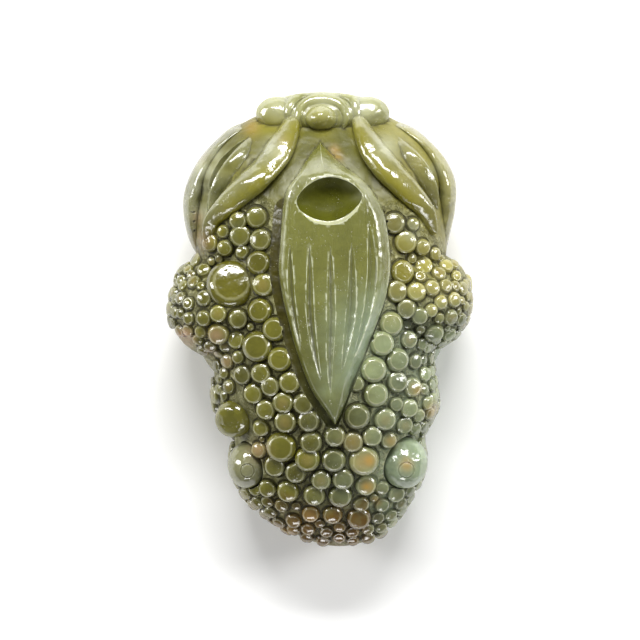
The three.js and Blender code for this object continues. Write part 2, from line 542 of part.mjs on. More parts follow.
// The corners of the skin: plain points, a ring for each wart's flat top, and the ground between the warts,
// which has a corner where two neighbours touch and more round a wart that stands free
function skinCorners() {
  const places = growWarts();
  const warts = places.filter((p) => !p.plain || p.pinned);
  const corners = places.filter((p) => p.plain && !p.pinned).map(({ point }) => ({ at: point, point }));
  const ground = [];
  const addGround = (point, apart, owners) => {
    const at = skinPoint(directionOf(point));
    const free = warts.every((w) => owners.includes(w) || w.point.distanceTo(at) > w.radius);
    if (free && ground.every((other) => other.distanceTo(at) > apart)) ground.push(at);
  };
  warts.forEach((a, i) => {
    for (const b of warts.slice(i + 1)) {
      const reach = a.radius + b.radius;
      if (a.point.distanceTo(b.point) < 1.3 * reach)
        addGround(a.point.clone().lerp(b.point, a.radius / reach), 0.2, [a, b]);
    }
  });
  for (const w of warts) {
    const normal = skinNormal(w.direction);
    const aside = new THREE.Vector3(0, 1, 0).cross(normal).normalize();
    const along = new THREE.Vector3().crossVectors(normal, aside);
    const sides = Math.round(wartShape.fewestSides + wartShape.sidesPerRadius * w.radius);
    const onRing = (share, k) => {
      const turn = (2 * Math.PI * (k + fraction(7 * w.point.x))) / sides;
      return w.point.clone()
        .addScaledVector(aside, share * w.radius * Math.cos(turn))
        .addScaledVector(along, share * w.radius * Math.sin(turn));
    };
    for (let k = 0; k < sides; k++) {
      addGround(onRing(1, k), 0.7 * w.radius, [w]);
      const at = skinPoint(directionOf(onRing(wartShape.shoulder, k)));
      corners.push({ at, point: at.clone().addScaledVector(normal, wartShape.height * w.radius ** 0.8) });
    }
  }
  return [...corners, ...ground.map((point) => ({ at: point, point }))];
}

// The trunk and head: the convex hull of the corners on the map's sphere says how they join
function trunk() {
  const corners = skinCorners();
  const directions = corners.map(({ at }) => mapDirection(at));
  const index = new Map(directions.map((direction, i) => [direction, i]));
  const triangles = [];
  for (const { edge } of new ConvexHull().setFromPoints(directions).faces)
    triangles.push(...[edge, edge.next, edge.next.next].map((e) => index.get(e.head().point)));
  const geometry = new THREE.BufferGeometry();
  geometry.setFromPoints(corners.map(({ point }) => point.clone().setZ(Math.max(0, point.z))));
  geometry.setIndex(triangles);
  return solid(geometry);
}

function carveToad() {
  const sides = [-1, 1];
  const forms = [
    hindLegs.map(pocketBehindKnee).reduce((whole, pocket) => whole.subtract(pocket), trunk()),
    leafBody(),
    glandDome(),
    ...eyes.map((eye) => oval(eye)),
    ...rumpLobes(),
    ...hindLegs.flatMap(hindLegStrands),
    ...sides.flatMap(feet),
  ];
  const cuts = [leafHollow(), ...flutes.map(leafFlute), mouth()];
  return forms.reduce((whole, form) => whole.add(form)).subtract(cuts.reduce((whole, cut) => whole.add(cut)));
}

// The lowest slice is cut off flat, so that the toad rests on a plane
function restOnPlane(whole) {
  const slab = solid(new THREE.BoxGeometry(80, 80, 10).translate(0, 0, -5));
  return whole.subtract(slab);
}

// Corners that lie closer together than the finest edge become one, and the slivers between them go
function geometryOf(whole) {
  const mesh = whole.getMesh();
  const geometry = new THREE.BufferGeometry();
  geometry.setAttribute('position', new THREE.BufferAttribute(mesh.vertProperties, 3));
  geometry.setIndex(new THREE.BufferAttribute(mesh.triVerts, 1));
  const merged = mergeVertices(geometry, finestEdge);
  const corners = merged.index.array;
  const kept = [];
  for (let i = 0; i < corners.length; i += 3) {
    const [a, b, c] = corners.slice(i, i + 3);
    if (a !== b && b !== c && c !== a) kept.push(a, b, c);
  }
  merged.setIndex(kept);
  merged.computeVertexNormals();
  return merged;
}

const jade = new THREE.MeshStandardMaterial({ color: 0x7d8450, roughness: 0.22, metalness: 0 });
const toad = new THREE.Mesh(geometryOf(restOnPlane(carveToad())), jade);
toad.name = 'money_toad';

const part = new THREE.Group();
part.add(toad);
export default part;
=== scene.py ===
import math

import bmesh
import bpy
import numpy as np
from mathutils import Matrix, Vector
from mathutils.kdtree import KDTree


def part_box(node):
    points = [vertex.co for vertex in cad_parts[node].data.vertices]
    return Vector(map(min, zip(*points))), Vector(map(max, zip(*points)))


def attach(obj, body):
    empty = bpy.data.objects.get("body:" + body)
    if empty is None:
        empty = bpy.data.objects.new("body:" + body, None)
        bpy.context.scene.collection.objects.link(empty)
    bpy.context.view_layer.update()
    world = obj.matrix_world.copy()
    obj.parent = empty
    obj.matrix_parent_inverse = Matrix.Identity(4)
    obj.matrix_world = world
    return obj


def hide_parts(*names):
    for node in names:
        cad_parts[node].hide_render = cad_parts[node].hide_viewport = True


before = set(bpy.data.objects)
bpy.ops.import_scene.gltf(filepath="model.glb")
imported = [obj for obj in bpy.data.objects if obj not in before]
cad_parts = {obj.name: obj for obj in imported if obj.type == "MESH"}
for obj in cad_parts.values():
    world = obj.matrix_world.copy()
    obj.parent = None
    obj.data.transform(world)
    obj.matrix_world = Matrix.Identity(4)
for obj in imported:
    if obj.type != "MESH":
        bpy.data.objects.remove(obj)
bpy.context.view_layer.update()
low, high = (Vector(corner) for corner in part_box("money_toad"))
print("frame loaded, the toad is %.1f mm long" % (1000 * (high.y - low.y)))

# Shapes are made in millimetres, as the solid is, and scaled to metres once at the end.
metresPerMm = 0.001


def smooth(t):
    t = np.clip(t, 0.0, 1.0)
    return t * t * (3.0 - 2.0 * t)


def bell(t):
    return np.exp(-t * t)


def lerp(a, b, t):
    return a + (b - a) * t


# The trunk and head: an oval body round an axis that leans a little to one side at the head.
trunk = {
    "halfLength": 25.0,
    "halfWidth": 12.5, "widthPeak": 4.0, "rumpPower": 2.3, "snoutPower": 3.0, "widthRoot": 2.0,
    "rise": 11.2, "risePeak": 1.0, "riseRumpPower": 2.0, "riseSnoutPower": 2.2, "rumpRoot": 1.15, "snoutRoot": 1.6,
    "bellyDepth": 0.5, "bellyPower": 4.0, "bellyRoot": 2.0,
    "middle": 7.4, "slope": 0.06,
    "neck": -12.8, "neckReach": 2.6, "neckPinch": 0.09,
    "headLean": 0.65, "headFrom": -3.0, "headTo": -14.0,
    "snoutLean": 1.25, "snoutFrom": -19.0, "snoutTo": -25.0,
    "squareness": 2.4,
    "segments": 160, "rings": 120,
}

# Swellings: haunches, corners of the rump, shoulders, a shallow dent in front of them, glands and cheeks. Each row
# holds the side, y, angle from the top, reach along y, reach in degrees and height.
swellings = [
    (-1, 13.4, 88, 9.4, 50, 2.1), (1, 13.4, 88, 9.4, 50, 1.8),
    (-1, 18.6, 84, 4.6, 42, 1.1), (1, 18.6, 84, 4.6, 42, 1.1),
    (-1, 1.0, 88, 5.3, 46, 4.2), (1, 2.0, 88, 4.9, 46, 3.7),
    (-1, -6.2, 88, 3.2, 50, -0.45), (1, -5.6, 88, 3.4, 50, -0.5),
    (-1, -8.6, 80, 4.0, 40, 0.3), (1, -8.6, 80, 4.0, 40, 0.5),
    (-1, -17.4, 86, 4.6, 42, 0.5), (1, -17.4, 86, 4.6, 42, 0.5),
]


def fullness(y, peak, power, root):
    reach = np.where(y > peak, trunk["halfLength"] - peak, trunk["halfLength"] + peak)
    return (1.0 - np.minimum(1.0, np.abs(y - peak) / reach) ** power) ** (1.0 / root)


def midline(y):
    head = smooth((y - trunk["headFrom"]) / (trunk["headTo"] - trunk["headFrom"]))
    snout = smooth((y - trunk["snoutFrom"]) / (trunk["snoutTo"] - trunk["snoutFrom"]))
    return trunk["headLean"] * head + trunk["snoutLean"] * snout


def midHeight(y):
    return trunk["middle"] + trunk["slope"] * y


def halfWidth(y):
    power = np.where(y > trunk["widthPeak"], trunk["rumpPower"], trunk["snoutPower"])
    pinch = 1.0 - trunk["neckPinch"] * bell((y - trunk["neck"]) / trunk["neckReach"])
    return trunk["halfWidth"] * fullness(y, trunk["widthPeak"], power, trunk["widthRoot"]) * pinch


def rise(y):
    behind = y > trunk["risePeak"]
    power = np.where(behind, trunk["riseRumpPower"], trunk["riseSnoutPower"])
    root = np.where(behind, trunk["rumpRoot"], trunk["snoutRoot"])
    return trunk["rise"] * fullness(y, trunk["risePeak"], power, root)


def drop(y):
    return (midHeight(y) + trunk["bellyDepth"]) * fullness(y, 0.0, trunk["bellyPower"], trunk["bellyRoot"])


# Points of the skin, seen from the body's axis in the directions of unit vectors (one in each row).
def skinPoints(directions):
    y = trunk["halfLength"] * directions[:, 1]
    angle = np.arctan2(directions[:, 0], directions[:, 2])
    power = trunk["squareness"]
    across = np.abs(np.sin(angle)) / np.maximum(1e-6, halfWidth(y))
    up = np.abs(np.cos(angle)) / np.maximum(1e-6, np.where(np.cos(angle) > 0, rise(y), drop(y)))
    reach = (across ** power + up ** power) ** (-1.0 / power)
    ends = np.minimum(1.0, 3.0 * np.sqrt(np.maximum(0.0, 1.0 - directions[:, 1] ** 2)))
    for side, at, turn, reachY, reachAngle, height in swellings:
        along = (y - at) / reachY
        around = (angle - side * math.radians(turn)) / math.radians(reachAngle)
        reach = reach + ends * height * np.maximum(0.0, 1.0 - along ** 2 - around ** 2) ** 0.65
    return np.stack([midline(y) + reach * np.sin(angle), y, midHeight(y) + reach * np.cos(angle)], axis=1)


def directionsOf(points):
    y = np.clip(points[:, 1] / trunk["halfLength"], -0.9985, 0.9985)
    angle = np.arctan2(points[:, 0] - midline(points[:, 1]), points[:, 2] - midHeight(points[:, 1]))
    around = np.sqrt(1.0 - y * y)
    return np.stack([around * np.sin(angle), y, around * np.cos(angle)], axis=1)


def unit(rows):
    return rows / np.maximum(1e-12, np.linalg.norm(rows, axis=1, keepdims=True))


def skinNormals(directions):
    step = 0.02
    aside = unit(np.stack([directions[:, 2], np.zeros(len(directions)), -directions[:, 0]], axis=1))
    along = np.cross(aside, directions)

    def slope(t):
        return skinPoints(unit(directions + step * t)) - skinPoints(unit(directions - step * t))

    return unit(np.cross(slope(along), slope(aside)))


# Height of the skin above a place on the floor, read from a grid over the upper half of the trunk.
def heightGrid():
    ys = np.linspace(-24.9, 24.9, 499)
    angles = np.radians(np.linspace(-96.0, 96.0, 385))
    xs = np.linspace(-16.0, 16.0, 321)
    grid = np.empty((len(ys), len(xs)))
    for row, y in enumerate(ys):
        around = math.sqrt(1.0 - (y / trunk["halfLength"]) ** 2)
        directions = np.stack([around * np.sin(angles), np.full(len(angles), y / trunk["halfLength"]),
                               around * np.cos(angles)], axis=1)
        points = skinPoints(directions)
        grid[row] = np.interp(xs, np.maximum.accumulate(points[:, 0]), points[:, 2])
    return ys, xs, grid


gridY, gridX, gridHeight = heightGrid()


def skinTop(x, y):
    row = np.clip((np.asarray(y, dtype=float) - gridY[0]) / (gridY[1] - gridY[0]), 0, len(gridY) - 1.001)
    column = np.clip((np.asarray(x, dtype=float) - gridX[0]) / (gridX[1] - gridX[0]), 0, len(gridX) - 1.001)
    i, j = row.astype(int), column.astype(int)
    u, v = row - i, column - j
    near = gridHeight[i, j] * (1 - v) + gridHeight[i, j + 1] * v
    far = gridHeight[i + 1, j] * (1 - v) + gridHeight[i + 1, j + 1] * v
    return near * (1 - u) + far * u


# Places on the floor plan, lifted to the skin or a little above it.
def onSkin(places, lift=0.0):
    return [(x, y, float(skinTop(x, y)) + lift) for x, y in places]


# A unit ball whose poles lie on the Y axis. Every rounded form starts as one.
def startBall(segments, rings):
    shape = bmesh.new()
    bmesh.ops.create_uvsphere(shape, u_segments=segments, v_segments=rings, radius=1.0)
    bmesh.ops.rotate(shape, verts=shape.verts, cent=(0, 0, 0), matrix=Matrix.Rotation(math.radians(-90), 3, "X"))
    return shape


def readVerts(shape):
    return np.array([v.co[:] for v in shape.verts])


def moveVerts(shape, points):
    for v, point in zip(shape.verts, points):
        v.co = point
    bmesh.ops.recalc_face_normals(shape, faces=shape.faces)
    return shape


# Every face remembers which form it came from, and on a wart, which wart. The materials go by it.
zones = ["skin", "wart", "gland", "gutter", "leaf", "rim", "hollow", "limb", "lobe", "eye"]


def makeObject(name, shape, zone="skin"):
    mesh = bpy.data.meshes.new(name)
    shape.to_mesh(mesh)
    shape.free()
    mesh.attributes.new("zone", "INT", "FACE").data.foreach_set("value", [zones.index(zone)] * len(mesh.polygons))
    if "wart" not in mesh.attributes:
        mesh.attributes.new("wart", "INT", "FACE")
    made = bpy.data.objects.new(name, mesh)
    bpy.context.scene.collection.objects.link(made)
    return made


# Joins a form to the toad, or cuts it out of the toad.
def carve(toad, shape, operation, zone):
    tool = makeObject("tool", shape, zone)
    modifier = toad.modifiers.new(operation, "BOOLEAN")
    modifier.operation = operation
    modifier.solver = "MANIFOLD"
    modifier.object = tool
    seen = toad.evaluated_get(bpy.context.evaluated_depsgraph_get())
    mesh = bpy.data.meshes.new_from_object(seen)
    toad.modifiers.clear()
    worn = toad.data
    toad.data = mesh
    bpy.data.meshes.remove(worn)
    bpy.data.objects.remove(tool)


# A point on a smooth curve through some points, with t from 0 to 1.
def alongCurve(points, t):
    points = np.asarray(points, dtype=float)
    spans = len(points) - 1
    place = np.clip(np.asarray(t, dtype=float), 0.0, 1.0) * spans
    index = np.minimum(spans - 1, place.astype(int))
    u = (place - index)[:, None]
    padded = np.vstack([2 * points[0] - points[1], points, 2 * points[-1] - points[-2]])
    before, start, end, after = (padded[index + k] for k in range(4))
    m0 = 0.5 * (end - before)
    m1 = 0.5 * (after - start)
    return ((2 * u ** 3 - 3 * u ** 2 + 1) * start + (u ** 3 - 2 * u ** 2 + u) * m0
            + (-2 * u ** 3 + 3 * u ** 2) * end + (u ** 3 - u ** 2) * m1)


# A spindle along a curve: limbs, toes, folds, and grooves when it is cut away. Its half-width may change along
# the curve. A low plumpness makes blunt ends, and a low squareness makes a crest. Its depth lies along facing, or
# away from the body's axis.
def spindle(points, wide, deep, plump=0.7, square=2.0, segments=24, rings=40, facing=None):
    shape = startBall(segments, rings)
    verts = readVerts(shape)
    t = np.arccos(np.clip(verts[:, 1], -1.0, 1.0)) / math.pi
    centre = alongCurve(points, t)
    tangent = unit(alongCurve(points, t + 0.004) - alongCurve(points, t - 0.004))
    outward = unit(np.stack([centre[:, 0] - midline(centre[:, 1]), np.zeros(len(t)),
                             centre[:, 2] - midHeight(centre[:, 1])], axis=1))
    if facing is not None:
        outward = np.tile(np.array(facing, dtype=float), (len(t), 1))
    side = unit(np.cross(outward, tangent))
    wide, deep = (np.interp(t, np.linspace(0.0, 1.0, len(np.atleast_1d(size))), np.atleast_1d(size))
                  for size in (wide, deep))
    ring = np.maximum(np.hypot(verts[:, 0], verts[:, 2]), 1e-9)
    c, s = verts[:, 0] / ring, verts[:, 2] / ring
    edge = (np.abs(c) ** square + np.abs(s) ** square) ** (-1.0 / square)
    size = np.where(ring > 1e-6, edge * ring ** plump, 0.0)
    placed = centre + side * (c * wide * size)[:, None] + outward * (s * deep * size)[:, None]
    return moveVerts(shape, placed)


def oval(centre, radii, segments=40, rings=28):
    shape = startBall(segments, rings)
    bmesh.ops.scale(shape, vec=radii, verts=shape.verts)
    bmesh.ops.translate(shape, vec=centre, verts=shape.verts)
    return shape


# The leaf on the back, from its stem end over the rump to its tip behind the head. Each station gives a place
# along the back, the left and right edges and the height of the leaf's face there.
leaf = {
    "stations": [
        (19.5, -0.3, -0.1, 14.1), (18.3, -1.05, 0.8, 16.2), (16.9, -1.95, 2.1, 18.4), (15.7, -2.6, 3.8, 19.9),
        (14.3, -3.65, 5.15, 20.1), (12.6, -4.1, 6.2, 20.1), (10.8, -4.3, 6.85, 20.1), (8.0, -4.5, 7.25, 20.1),
        (5.4, -4.65, 7.35, 20.0), (2.6, -4.25, 6.9, 19.85), (0.4, -3.75, 6.2, 19.7), (-3.0, -2.85, 4.9, 19.4),
        (-7.2, -1.3, 3.2, 19.0), (-10.2, 0.6, 2.0, 18.5), (-11.3, 1.35, 1.5, 17.6),
    ],
    "crown": 0.9, "ridge": 1.1, "ridgeFrom": 15.0, "ridgeTo": 17.5,
    "leftBevel": 0.35, "rightBevel": 1.0, "leftDrop": 0.4, "rightDrop": 0.75,
    "flare": 0.25, "root": 2.5,
    "leftGutter": 1.05, "rightGutter": 0.35, "gutterDepth": 0.45,
    "segments": 96, "rings": 130,
}
flutes = [  # the line of each gouge down the leaf, and its half-width
    ([(-3.5, 8.6), (-3.45, 5.0), (-3.2, 1.5), (-2.15, -4.0)], 0.42),
    ([(-1.4, 9.2), (-1.35, 5.0), (-1.3, 0.5), (-0.8, -3.5), (0.0, -7.3)], 0.5),
    ([(0.9, 8.7), (0.92, 5.0), (0.98, 0.0), (0.85, -4.5), (0.95, -9.2)], 0.55),
    ([(3.2, 9.3), (3.25, 5.0), (3.15, 1.0), (2.7, -2.5), (2.0, -6.5)], 0.62),
    ([(5.0, 11.0), (5.3, 8.0), (5.3, 4.0), (4.6, -0.5), (3.1, -5.2)], 0.62),
]
fluteDepth = 0.34
hollow = {"centre": (0.75, 13.05, 20.3), "radii": (3.75, 2.45, 2.3), "turn": 0.12, "rimWider": 1.17, "rimDepth": 0.95}

leafCurve = alongCurve(leaf["stations"], np.linspace(0.0, 1.0, 600))[::-1]


def leafStation(y):
    return [np.interp(y, leafCurve[:, 0], leafCurve[:, k]) for k in (1, 2, 3)]


# Height of the leaf's face at a place, without the bevels.
def leafFace(x, y):
    left, right, height = leafStation(y)
    across = np.clip((2.0 * x - left - right) / (right - left), -1.0, 1.0)
    roof = smooth((y - leaf["ridgeFrom"]) / (leaf["ridgeTo"] - leaf["ridgeFrom"]))
    return height - lerp(leaf["crown"] * across ** 2, leaf["ridge"] * np.abs(across), roof)


# The section runs over the face, down a bevel and a wall on each side, and under the skin.
def leafForm():
    shape = startBall(leaf["segments"], leaf["rings"])
    verts = readVerts(shape)
    y = lerp(leaf["stations"][0][0], leaf["stations"][-1][0], 0.5 * (1.0 - verts[:, 1]))
    left, right, _ = leafStation(y)
    turn = np.arctan2(verts[:, 0], verts[:, 2]) / math.pi
    side, share = np.where(turn < 0, -1.0, 1.0), np.abs(turn)
    half, middle = 0.5 * (right - left), 0.5 * (right + left)
    bevel = np.minimum(np.where(side < 0, leaf["leftBevel"], leaf["rightBevel"]), 0.4 * half)
    drop = bevel * np.where(side < 0, leaf["leftDrop"] / leaf["leftBevel"], leaf["rightDrop"] / leaf["rightBevel"])
    arris, edge, foot, under = 20 / 48, 24 / 48, 28 / 48, 1.0
    flare = leaf["flare"] * np.minimum(1.0, half)
    out = np.select([share <= arris, share <= edge, share <= foot],
                    [(half - bevel) * share / arris, half - bevel * (edge - share) / (edge - arris),
                     half + flare * (share - edge) / (foot - edge)],
                    (half + flare) * (under - share) / (under - foot))
    x = middle + side * out
    sill = np.minimum(skinTop(middle + side * half, y), leafFace(x, y) - 0.2)
    fall = np.clip((share - arris) / (edge - arris), 0.0, 1.0) * drop
    wall = np.clip((share - edge) / (foot - edge), 0.0, 1.0)
    z = lerp(leafFace(np.clip(x, middle - half, middle + half), y) - fall, sill - leaf["root"], wall)
    return moveVerts(shape, np.stack([x, y, z], axis=1))


# Cut round the leaf, which takes the warts away there and sinks a gutter into the skin.
def gutterForm():
    shape = startBall(leaf["segments"], leaf["rings"])
    verts = readVerts(shape)
    first, last = leaf["stations"][0][0], leaf["stations"][-1][0] - 0.5
    y = lerp(first, last, 0.5 * (1.0 - verts[:, 1]))
    left, right, _ = leafStation(y)
    turn = np.arctan2(verts[:, 0], verts[:, 2]) / math.pi
    side, share = np.where(turn < 0, -1.0, 1.0), np.abs(turn)
    ends = np.minimum(1.0, 6.0 * np.sqrt(np.maximum(0.0, 1.0 - verts[:, 1] ** 2)))
    half = 0.5 * (right - left) + ends * np.where(side < 0, leaf["leftGutter"], leaf["rightGutter"])
    out = half * np.where(share < 0.5, share / 0.5, (1.0 - share) / 0.5)
    x = 0.5 * (right + left) + side * out
    fade = smooth((15.0 - y) / 3.0)
    hole = leaf["gutterDepth"] * (1.0 - (out / half) ** 6) * ends * fade - 0.4 * (1.0 - fade)
    z = np.where(share < 0.5, 26.0, skinTop(x, y) - hole)
    return moveVerts(shape, np.stack([x, y, z], axis=1))


def fluteForm(line, wide):
    line = alongCurve([(x, y, 0.0) for x, y in line], np.linspace(0.0, 1.0, 12))
    points = [(x, y, float(leafFace(x, y)) + 0.12) for x, y, _ in line]
    return spindle(points, wide, fluteDepth + 0.12, plump=0.8, square=1.4, segments=12, rings=48)


def hollowForm(wider, depth):
    shape = startBall(64, 36)
    verts = readVerts(shape)
    rx, ry, _ = hollow["radii"]
    pinch = 1.0 - 0.3 * verts[:, 0] ** 2
    placed = np.stack([verts[:, 0] * rx * wider, verts[:, 1] * ry * wider * pinch, verts[:, 2] * depth], axis=1)
    moveVerts(shape, placed)
    bmesh.ops.rotate(shape, verts=shape.verts, cent=(0, 0, 0), matrix=Matrix.Rotation(hollow["turn"], 3, "Z"))
    bmesh.ops.translate(shape, vec=hollow["centre"], verts=shape.verts)
    return shape


eyes = [  # centre and radii of each eyeball, and the place and radius of the ring cut round its iris
    {"centre": (9.0, -15.6, 11.7), "radii": (2.6, 2.85, 2.6), "iris": (9.2, -16.4), "irisRadius": 0.85},
    {"centre": (-8.2, -15.9, 11.0), "radii": (2.15, 2.55, 2.4), "iris": (-8.15, -16.5), "irisRadius": 0.75},
]

# Warts: their spacing radii on the back, the flanks and the snout, and the shape of one button.
warts = {
    "back": 1.1, "side": 0.74, "snout": 0.78, "variation": 0.3,
    "height": 0.6, "lean": 1.3, "placedGrowth": 1.15, "growth": 1.2, "closeness": 0.75, "plainSpacing": 1.2,
    "candidates": 9000, "stride": 5563,
    "segments": 14, "bigFrom": 1.35,
}
placedWarts = [  # x, y and radius of the warts that the carver set out first, down the right side of the leaf
    (-9.9, 4.05, 2.35), (-8.9, 9.1, 1.1), (-9.15, 10.75, 0.95), (-7.1, 11.1, 1.1), (-6.7, 8.7, 1.15),
    (-6.95, 6.2, 1.2), (-10.6, 7.8, 0.85), (-8.7, 7.4, 0.75), (-6.4, 3.8, 1.15), (-6.8, 1.0, 1.2),
    (-9.1, 0.05, 1.0), (-11.3, 0.65, 0.88), (-12.9, 0.15, 0.82), (-12.85, 2.4, 0.85), (-14.6, 1.8, 0.68),
    (-14.05, 4.2, 0.75), (-15.5, 4.3, 0.65), (-12.9, 5.5, 0.75), (-15.5, 2.4, 0.7), (-5.2, -1.0, 1.18),
    (-7.1, -2.9, 1.5), (-9.4, -2.2, 0.95), (-11.3, -1.65, 1.1), (-12.2, -3.0, 0.7), (-4.6, -4.27, 1.2),
    (-6.7, -5.8, 1.05), (-8.7, -6.0, 1.02), (-3.55, -6.8, 1.1), (-5.65, -7.25, 1.0), (-7.5, -8.05, 1.03),
    (-4.25, -9.0, 1.1), (-2.05, -9.15, 1.08), (-6.15, -9.8, 1.05), (-4.0, -11.1, 1.17), (-1.45, -11.0, 1.15),
    (-6.7, -11.8, 0.9), (-10.2, -7.3, 0.75), (-11.4, -7.6, 0.6), (-10.4, -4.5, 0.8), (-11.6, -5.0, 0.7),
    # behind the eyes and over the head
    (-4.5, -13.9, 1.5), (-1.2, -13.35, 1.15), (-1.6, -15.2, 1.25), (-5.2, -16.0, 1.1), (-2.9, -16.7, 1.12),
    (-6.95, -14.2, 0.85), (1.4, -12.7, 1.08), (1.27, -15.3, 1.2), (4.6, -15.4, 1.48), (3.35, -13.3, 1.07),
    (5.5, -12.7, 1.05), (7.3, -13.1, 0.88),
    # down the left side of the leaf
    (7.85, 10.5, 1.08), (9.1, 8.4, 1.15), (8.8, 5.2, 1.2), (11.0, 5.9, 1.08), (11.0, 7.9, 0.85), (8.2, 3.1, 1.12),
    (10.25, 3.1, 0.98), (12.0, 3.5, 0.82), (9.15, 1.15, 1.0), (7.55, -0.45, 1.2), (10.6, 0.35, 0.9),
    (11.9, 1.0, 0.68), (12.95, 1.9, 0.75), (13.55, 3.75, 0.72), (14.5, 2.2, 0.8), (14.1, 0.25, 0.82),
    (15.3, 0.0, 0.75), (12.25, -1.6, 1.05), (9.5, -2.15, 0.95), (6.55, -2.55, 1.22), (11.0, -2.6, 0.7),
    (12.8, 5.1, 0.78), (14.0, -1.7, 0.8), (15.5, 3.5, 0.75), (5.65, -5.4, 1.28), (8.3, -4.4, 1.18),
    (8.25, -6.7, 1.12), (5.9, -8.1, 1.22), (9.9, -7.3, 1.05), (3.85, -10.5, 1.28), (6.9, -10.85, 1.17),
    (8.1, -9.2, 0.75), (9.55, -9.65, 0.98), (9.05, -11.5, 0.95), (10.2, -4.5, 0.85), (11.3, -5.9, 0.8),
    # the snout
    (-0.1, -17.5, 1.06), (2.3, -17.4, 1.14), (4.8, -18.1, 1.1), (6.6, -18.4, 0.75), (-3.75, -18.8, 1.15),
    (-0.85, -19.2, 1.14), (2.0, -19.3, 1.18), (-6.0, -18.5, 0.95), (4.3, -20.2, 0.85), (-1.25, -21.3, 0.92),
    (1.15, -21.4, 1.02), (4.05, -21.8, 1.2), (-3.15, -22.1, 0.85), (-4.45, -20.35, 0.75), (-2.8, -20.4, 0.5),
    (8.2, -19.1, 0.95), (6.6, -20.3, 0.8), (-7.4, -18.6, 0.7), (-5.7, -21.2, 0.75),
]
longWart = {"centre": (-9.5, -10.7), "radii": (2.1, 2.4), "height": 1.4}  # a gland behind the toad's right eye
neckGland = ((11.55, -9.0, 9.2), (1.2, 2.3, 2.4))  # centre and radii of a smooth swelling at the left of the neck
smoothElbow = {"y": -4.0, "reach": 2.6, "angle": (-125.0, -68.0)}


def isBare(points, directions):
    x, y, z = points.T
    angle = np.degrees(np.arctan2(directions[:, 0], directions[:, 2]))
    kneeLine = np.where(x < 0, 11.8 - 1.0 * np.abs(x + 9.0), 11.4 - 1.05 * np.abs(x - 9.2))
    bare = (y > np.where(np.abs(x) < 9.0, 12.4, kneeLine)) | ((np.abs(x) > 12.4) & (y > 6.6))
    left, right, _ = leafStation(np.clip(y, -11.3, 19.5))
    beside = (x > left - leaf["leftGutter"] + 0.2) & (x < right + leaf["rightGutter"])
    bare |= (np.abs(angle) < 70.0) & (y > -11.6) & beside
    bare |= (z < np.where(y < -18.0, 5.6, 4.2)) | (y < -24.4)
    elbow = np.abs(y - smoothElbow["y"]) < smoothElbow["reach"]
    bare |= elbow & (angle > smoothElbow["angle"][0]) & (angle < smoothElbow["angle"][1])
    for eye in eyes:
        away = (points - np.array(eye["centre"])) / (np.array(eye["radii"]) + 0.45)
        bare |= (away ** 2).sum(axis=1) < 1.0
    bare |= ((x - longWart["centre"][0]) / 2.2) ** 2 + ((y - longWart["centre"][1]) / 2.7) ** 2 < (z > 6.0)
    return bare


def wartSizes(points, directions):
    angle = np.abs(np.arctan2(directions[:, 0], directions[:, 2]))
    size = lerp(warts["back"], warts["side"], smooth((angle - 0.5) / 0.8))
    return lerp(size, warts["snout"], smooth((-18.0 - points[:, 1]) / 5.0))


# The first warts stay where they were set. Candidates for the others lie on a golden spiral, are tried in a
# scrambled order, and are pushed apart once they are in.
def wartHeight(radius):
    return warts["height"] * radius ** 0.8


def growWarts():
    golden = (math.sqrt(5.0) - 1.0) / 2.0
    placed = np.array(placedWarts)
    for turn in range(2):  # the second time round, each stands a little lower on the slope, so that its top is in place
        at = np.stack([placed[:, 0], placed[:, 1], skinTop(placed[:, 0], placed[:, 1])], axis=1)
        directions = directionsOf(at)
        if turn == 0:
            facing = np.array([wartFacing(normal)[:] for normal in skinNormals(directions)])
            placed[:, :2] -= 0.8 * facing[:, :2] * wartHeight(placed[:, 2:])
    points, directions = list(skinPoints(directions)), list(directions)
    radii = list(warts["placedGrowth"] * placed[:, 2])
    count = warts["candidates"]
    i = np.arange(count)
    k = (i * warts["stride"]) % count
    y = 1.0 - (2.0 * k + 1.0) / count
    turn = 2.0 * math.pi * np.mod(k * golden, 1.0)
    around = np.sqrt(1.0 - y * y)
    tried = np.stack([around * np.sin(turn), y, around * np.cos(turn)], axis=1)
    triedAt = skinPoints(tried)
    size = wartSizes(triedAt, tried) * (1.0 + warts["variation"] * (np.mod(i * golden, 1.0) - 0.5))
    size = np.where(isBare(triedAt, tried), warts["plainSpacing"], size)
    for direction, point, radius in zip(tried, triedAt, size):
        gaps = np.linalg.norm(np.array(points) - point, axis=1)
        if np.all(gaps > warts["closeness"] * (np.array(radii) + radius)):
            directions.append(direction)
            points.append(point)
            radii.append(radius)
    directions, points, radii = np.array(directions), np.array(points), np.array(radii)
    pinned = np.arange(len(radii)) < len(placed)
    reach = radii[:, None] + radii[None, :]
    for _ in range(60):
        away = points[:, None, :] - points[None, :, :]
        gap = np.linalg.norm(away, axis=2)
        np.fill_diagonal(gap, 1e9)
        push = np.where(gap < 1.02 * reach, 0.3 * (1.02 * reach - gap) / gap, 0.0)
        moves = (away * push[:, :, None]).sum(axis=1) / np.array([trunk["halfWidth"], trunk["halfLength"], trunk["rise"]])
        moves[pinned] = 0.0
        directions = unit(directions + moves)
        points = skinPoints(directions)
    keep = pinned | ~isBare(points, directions)
    directions, points, radii, pinned = directions[keep], points[keep], radii[keep], pinned[keep]
    gap = 0.99 * np.linalg.norm(points[:, None, :] - points[None, :, :], axis=2)
    np.fill_diagonal(gap, 1e9)
    room = np.where(pinned[None, :], gap - radii[None, :], gap * radii[:, None] / (radii[:, None] + radii[None, :]))
    radii = np.where(pinned, radii, np.minimum(warts["growth"] * radii, room.min(axis=1)))
    keep = pinned | (radii > 0.36)
    return points[keep], skinNormals(directions[keep]), radii[keep]


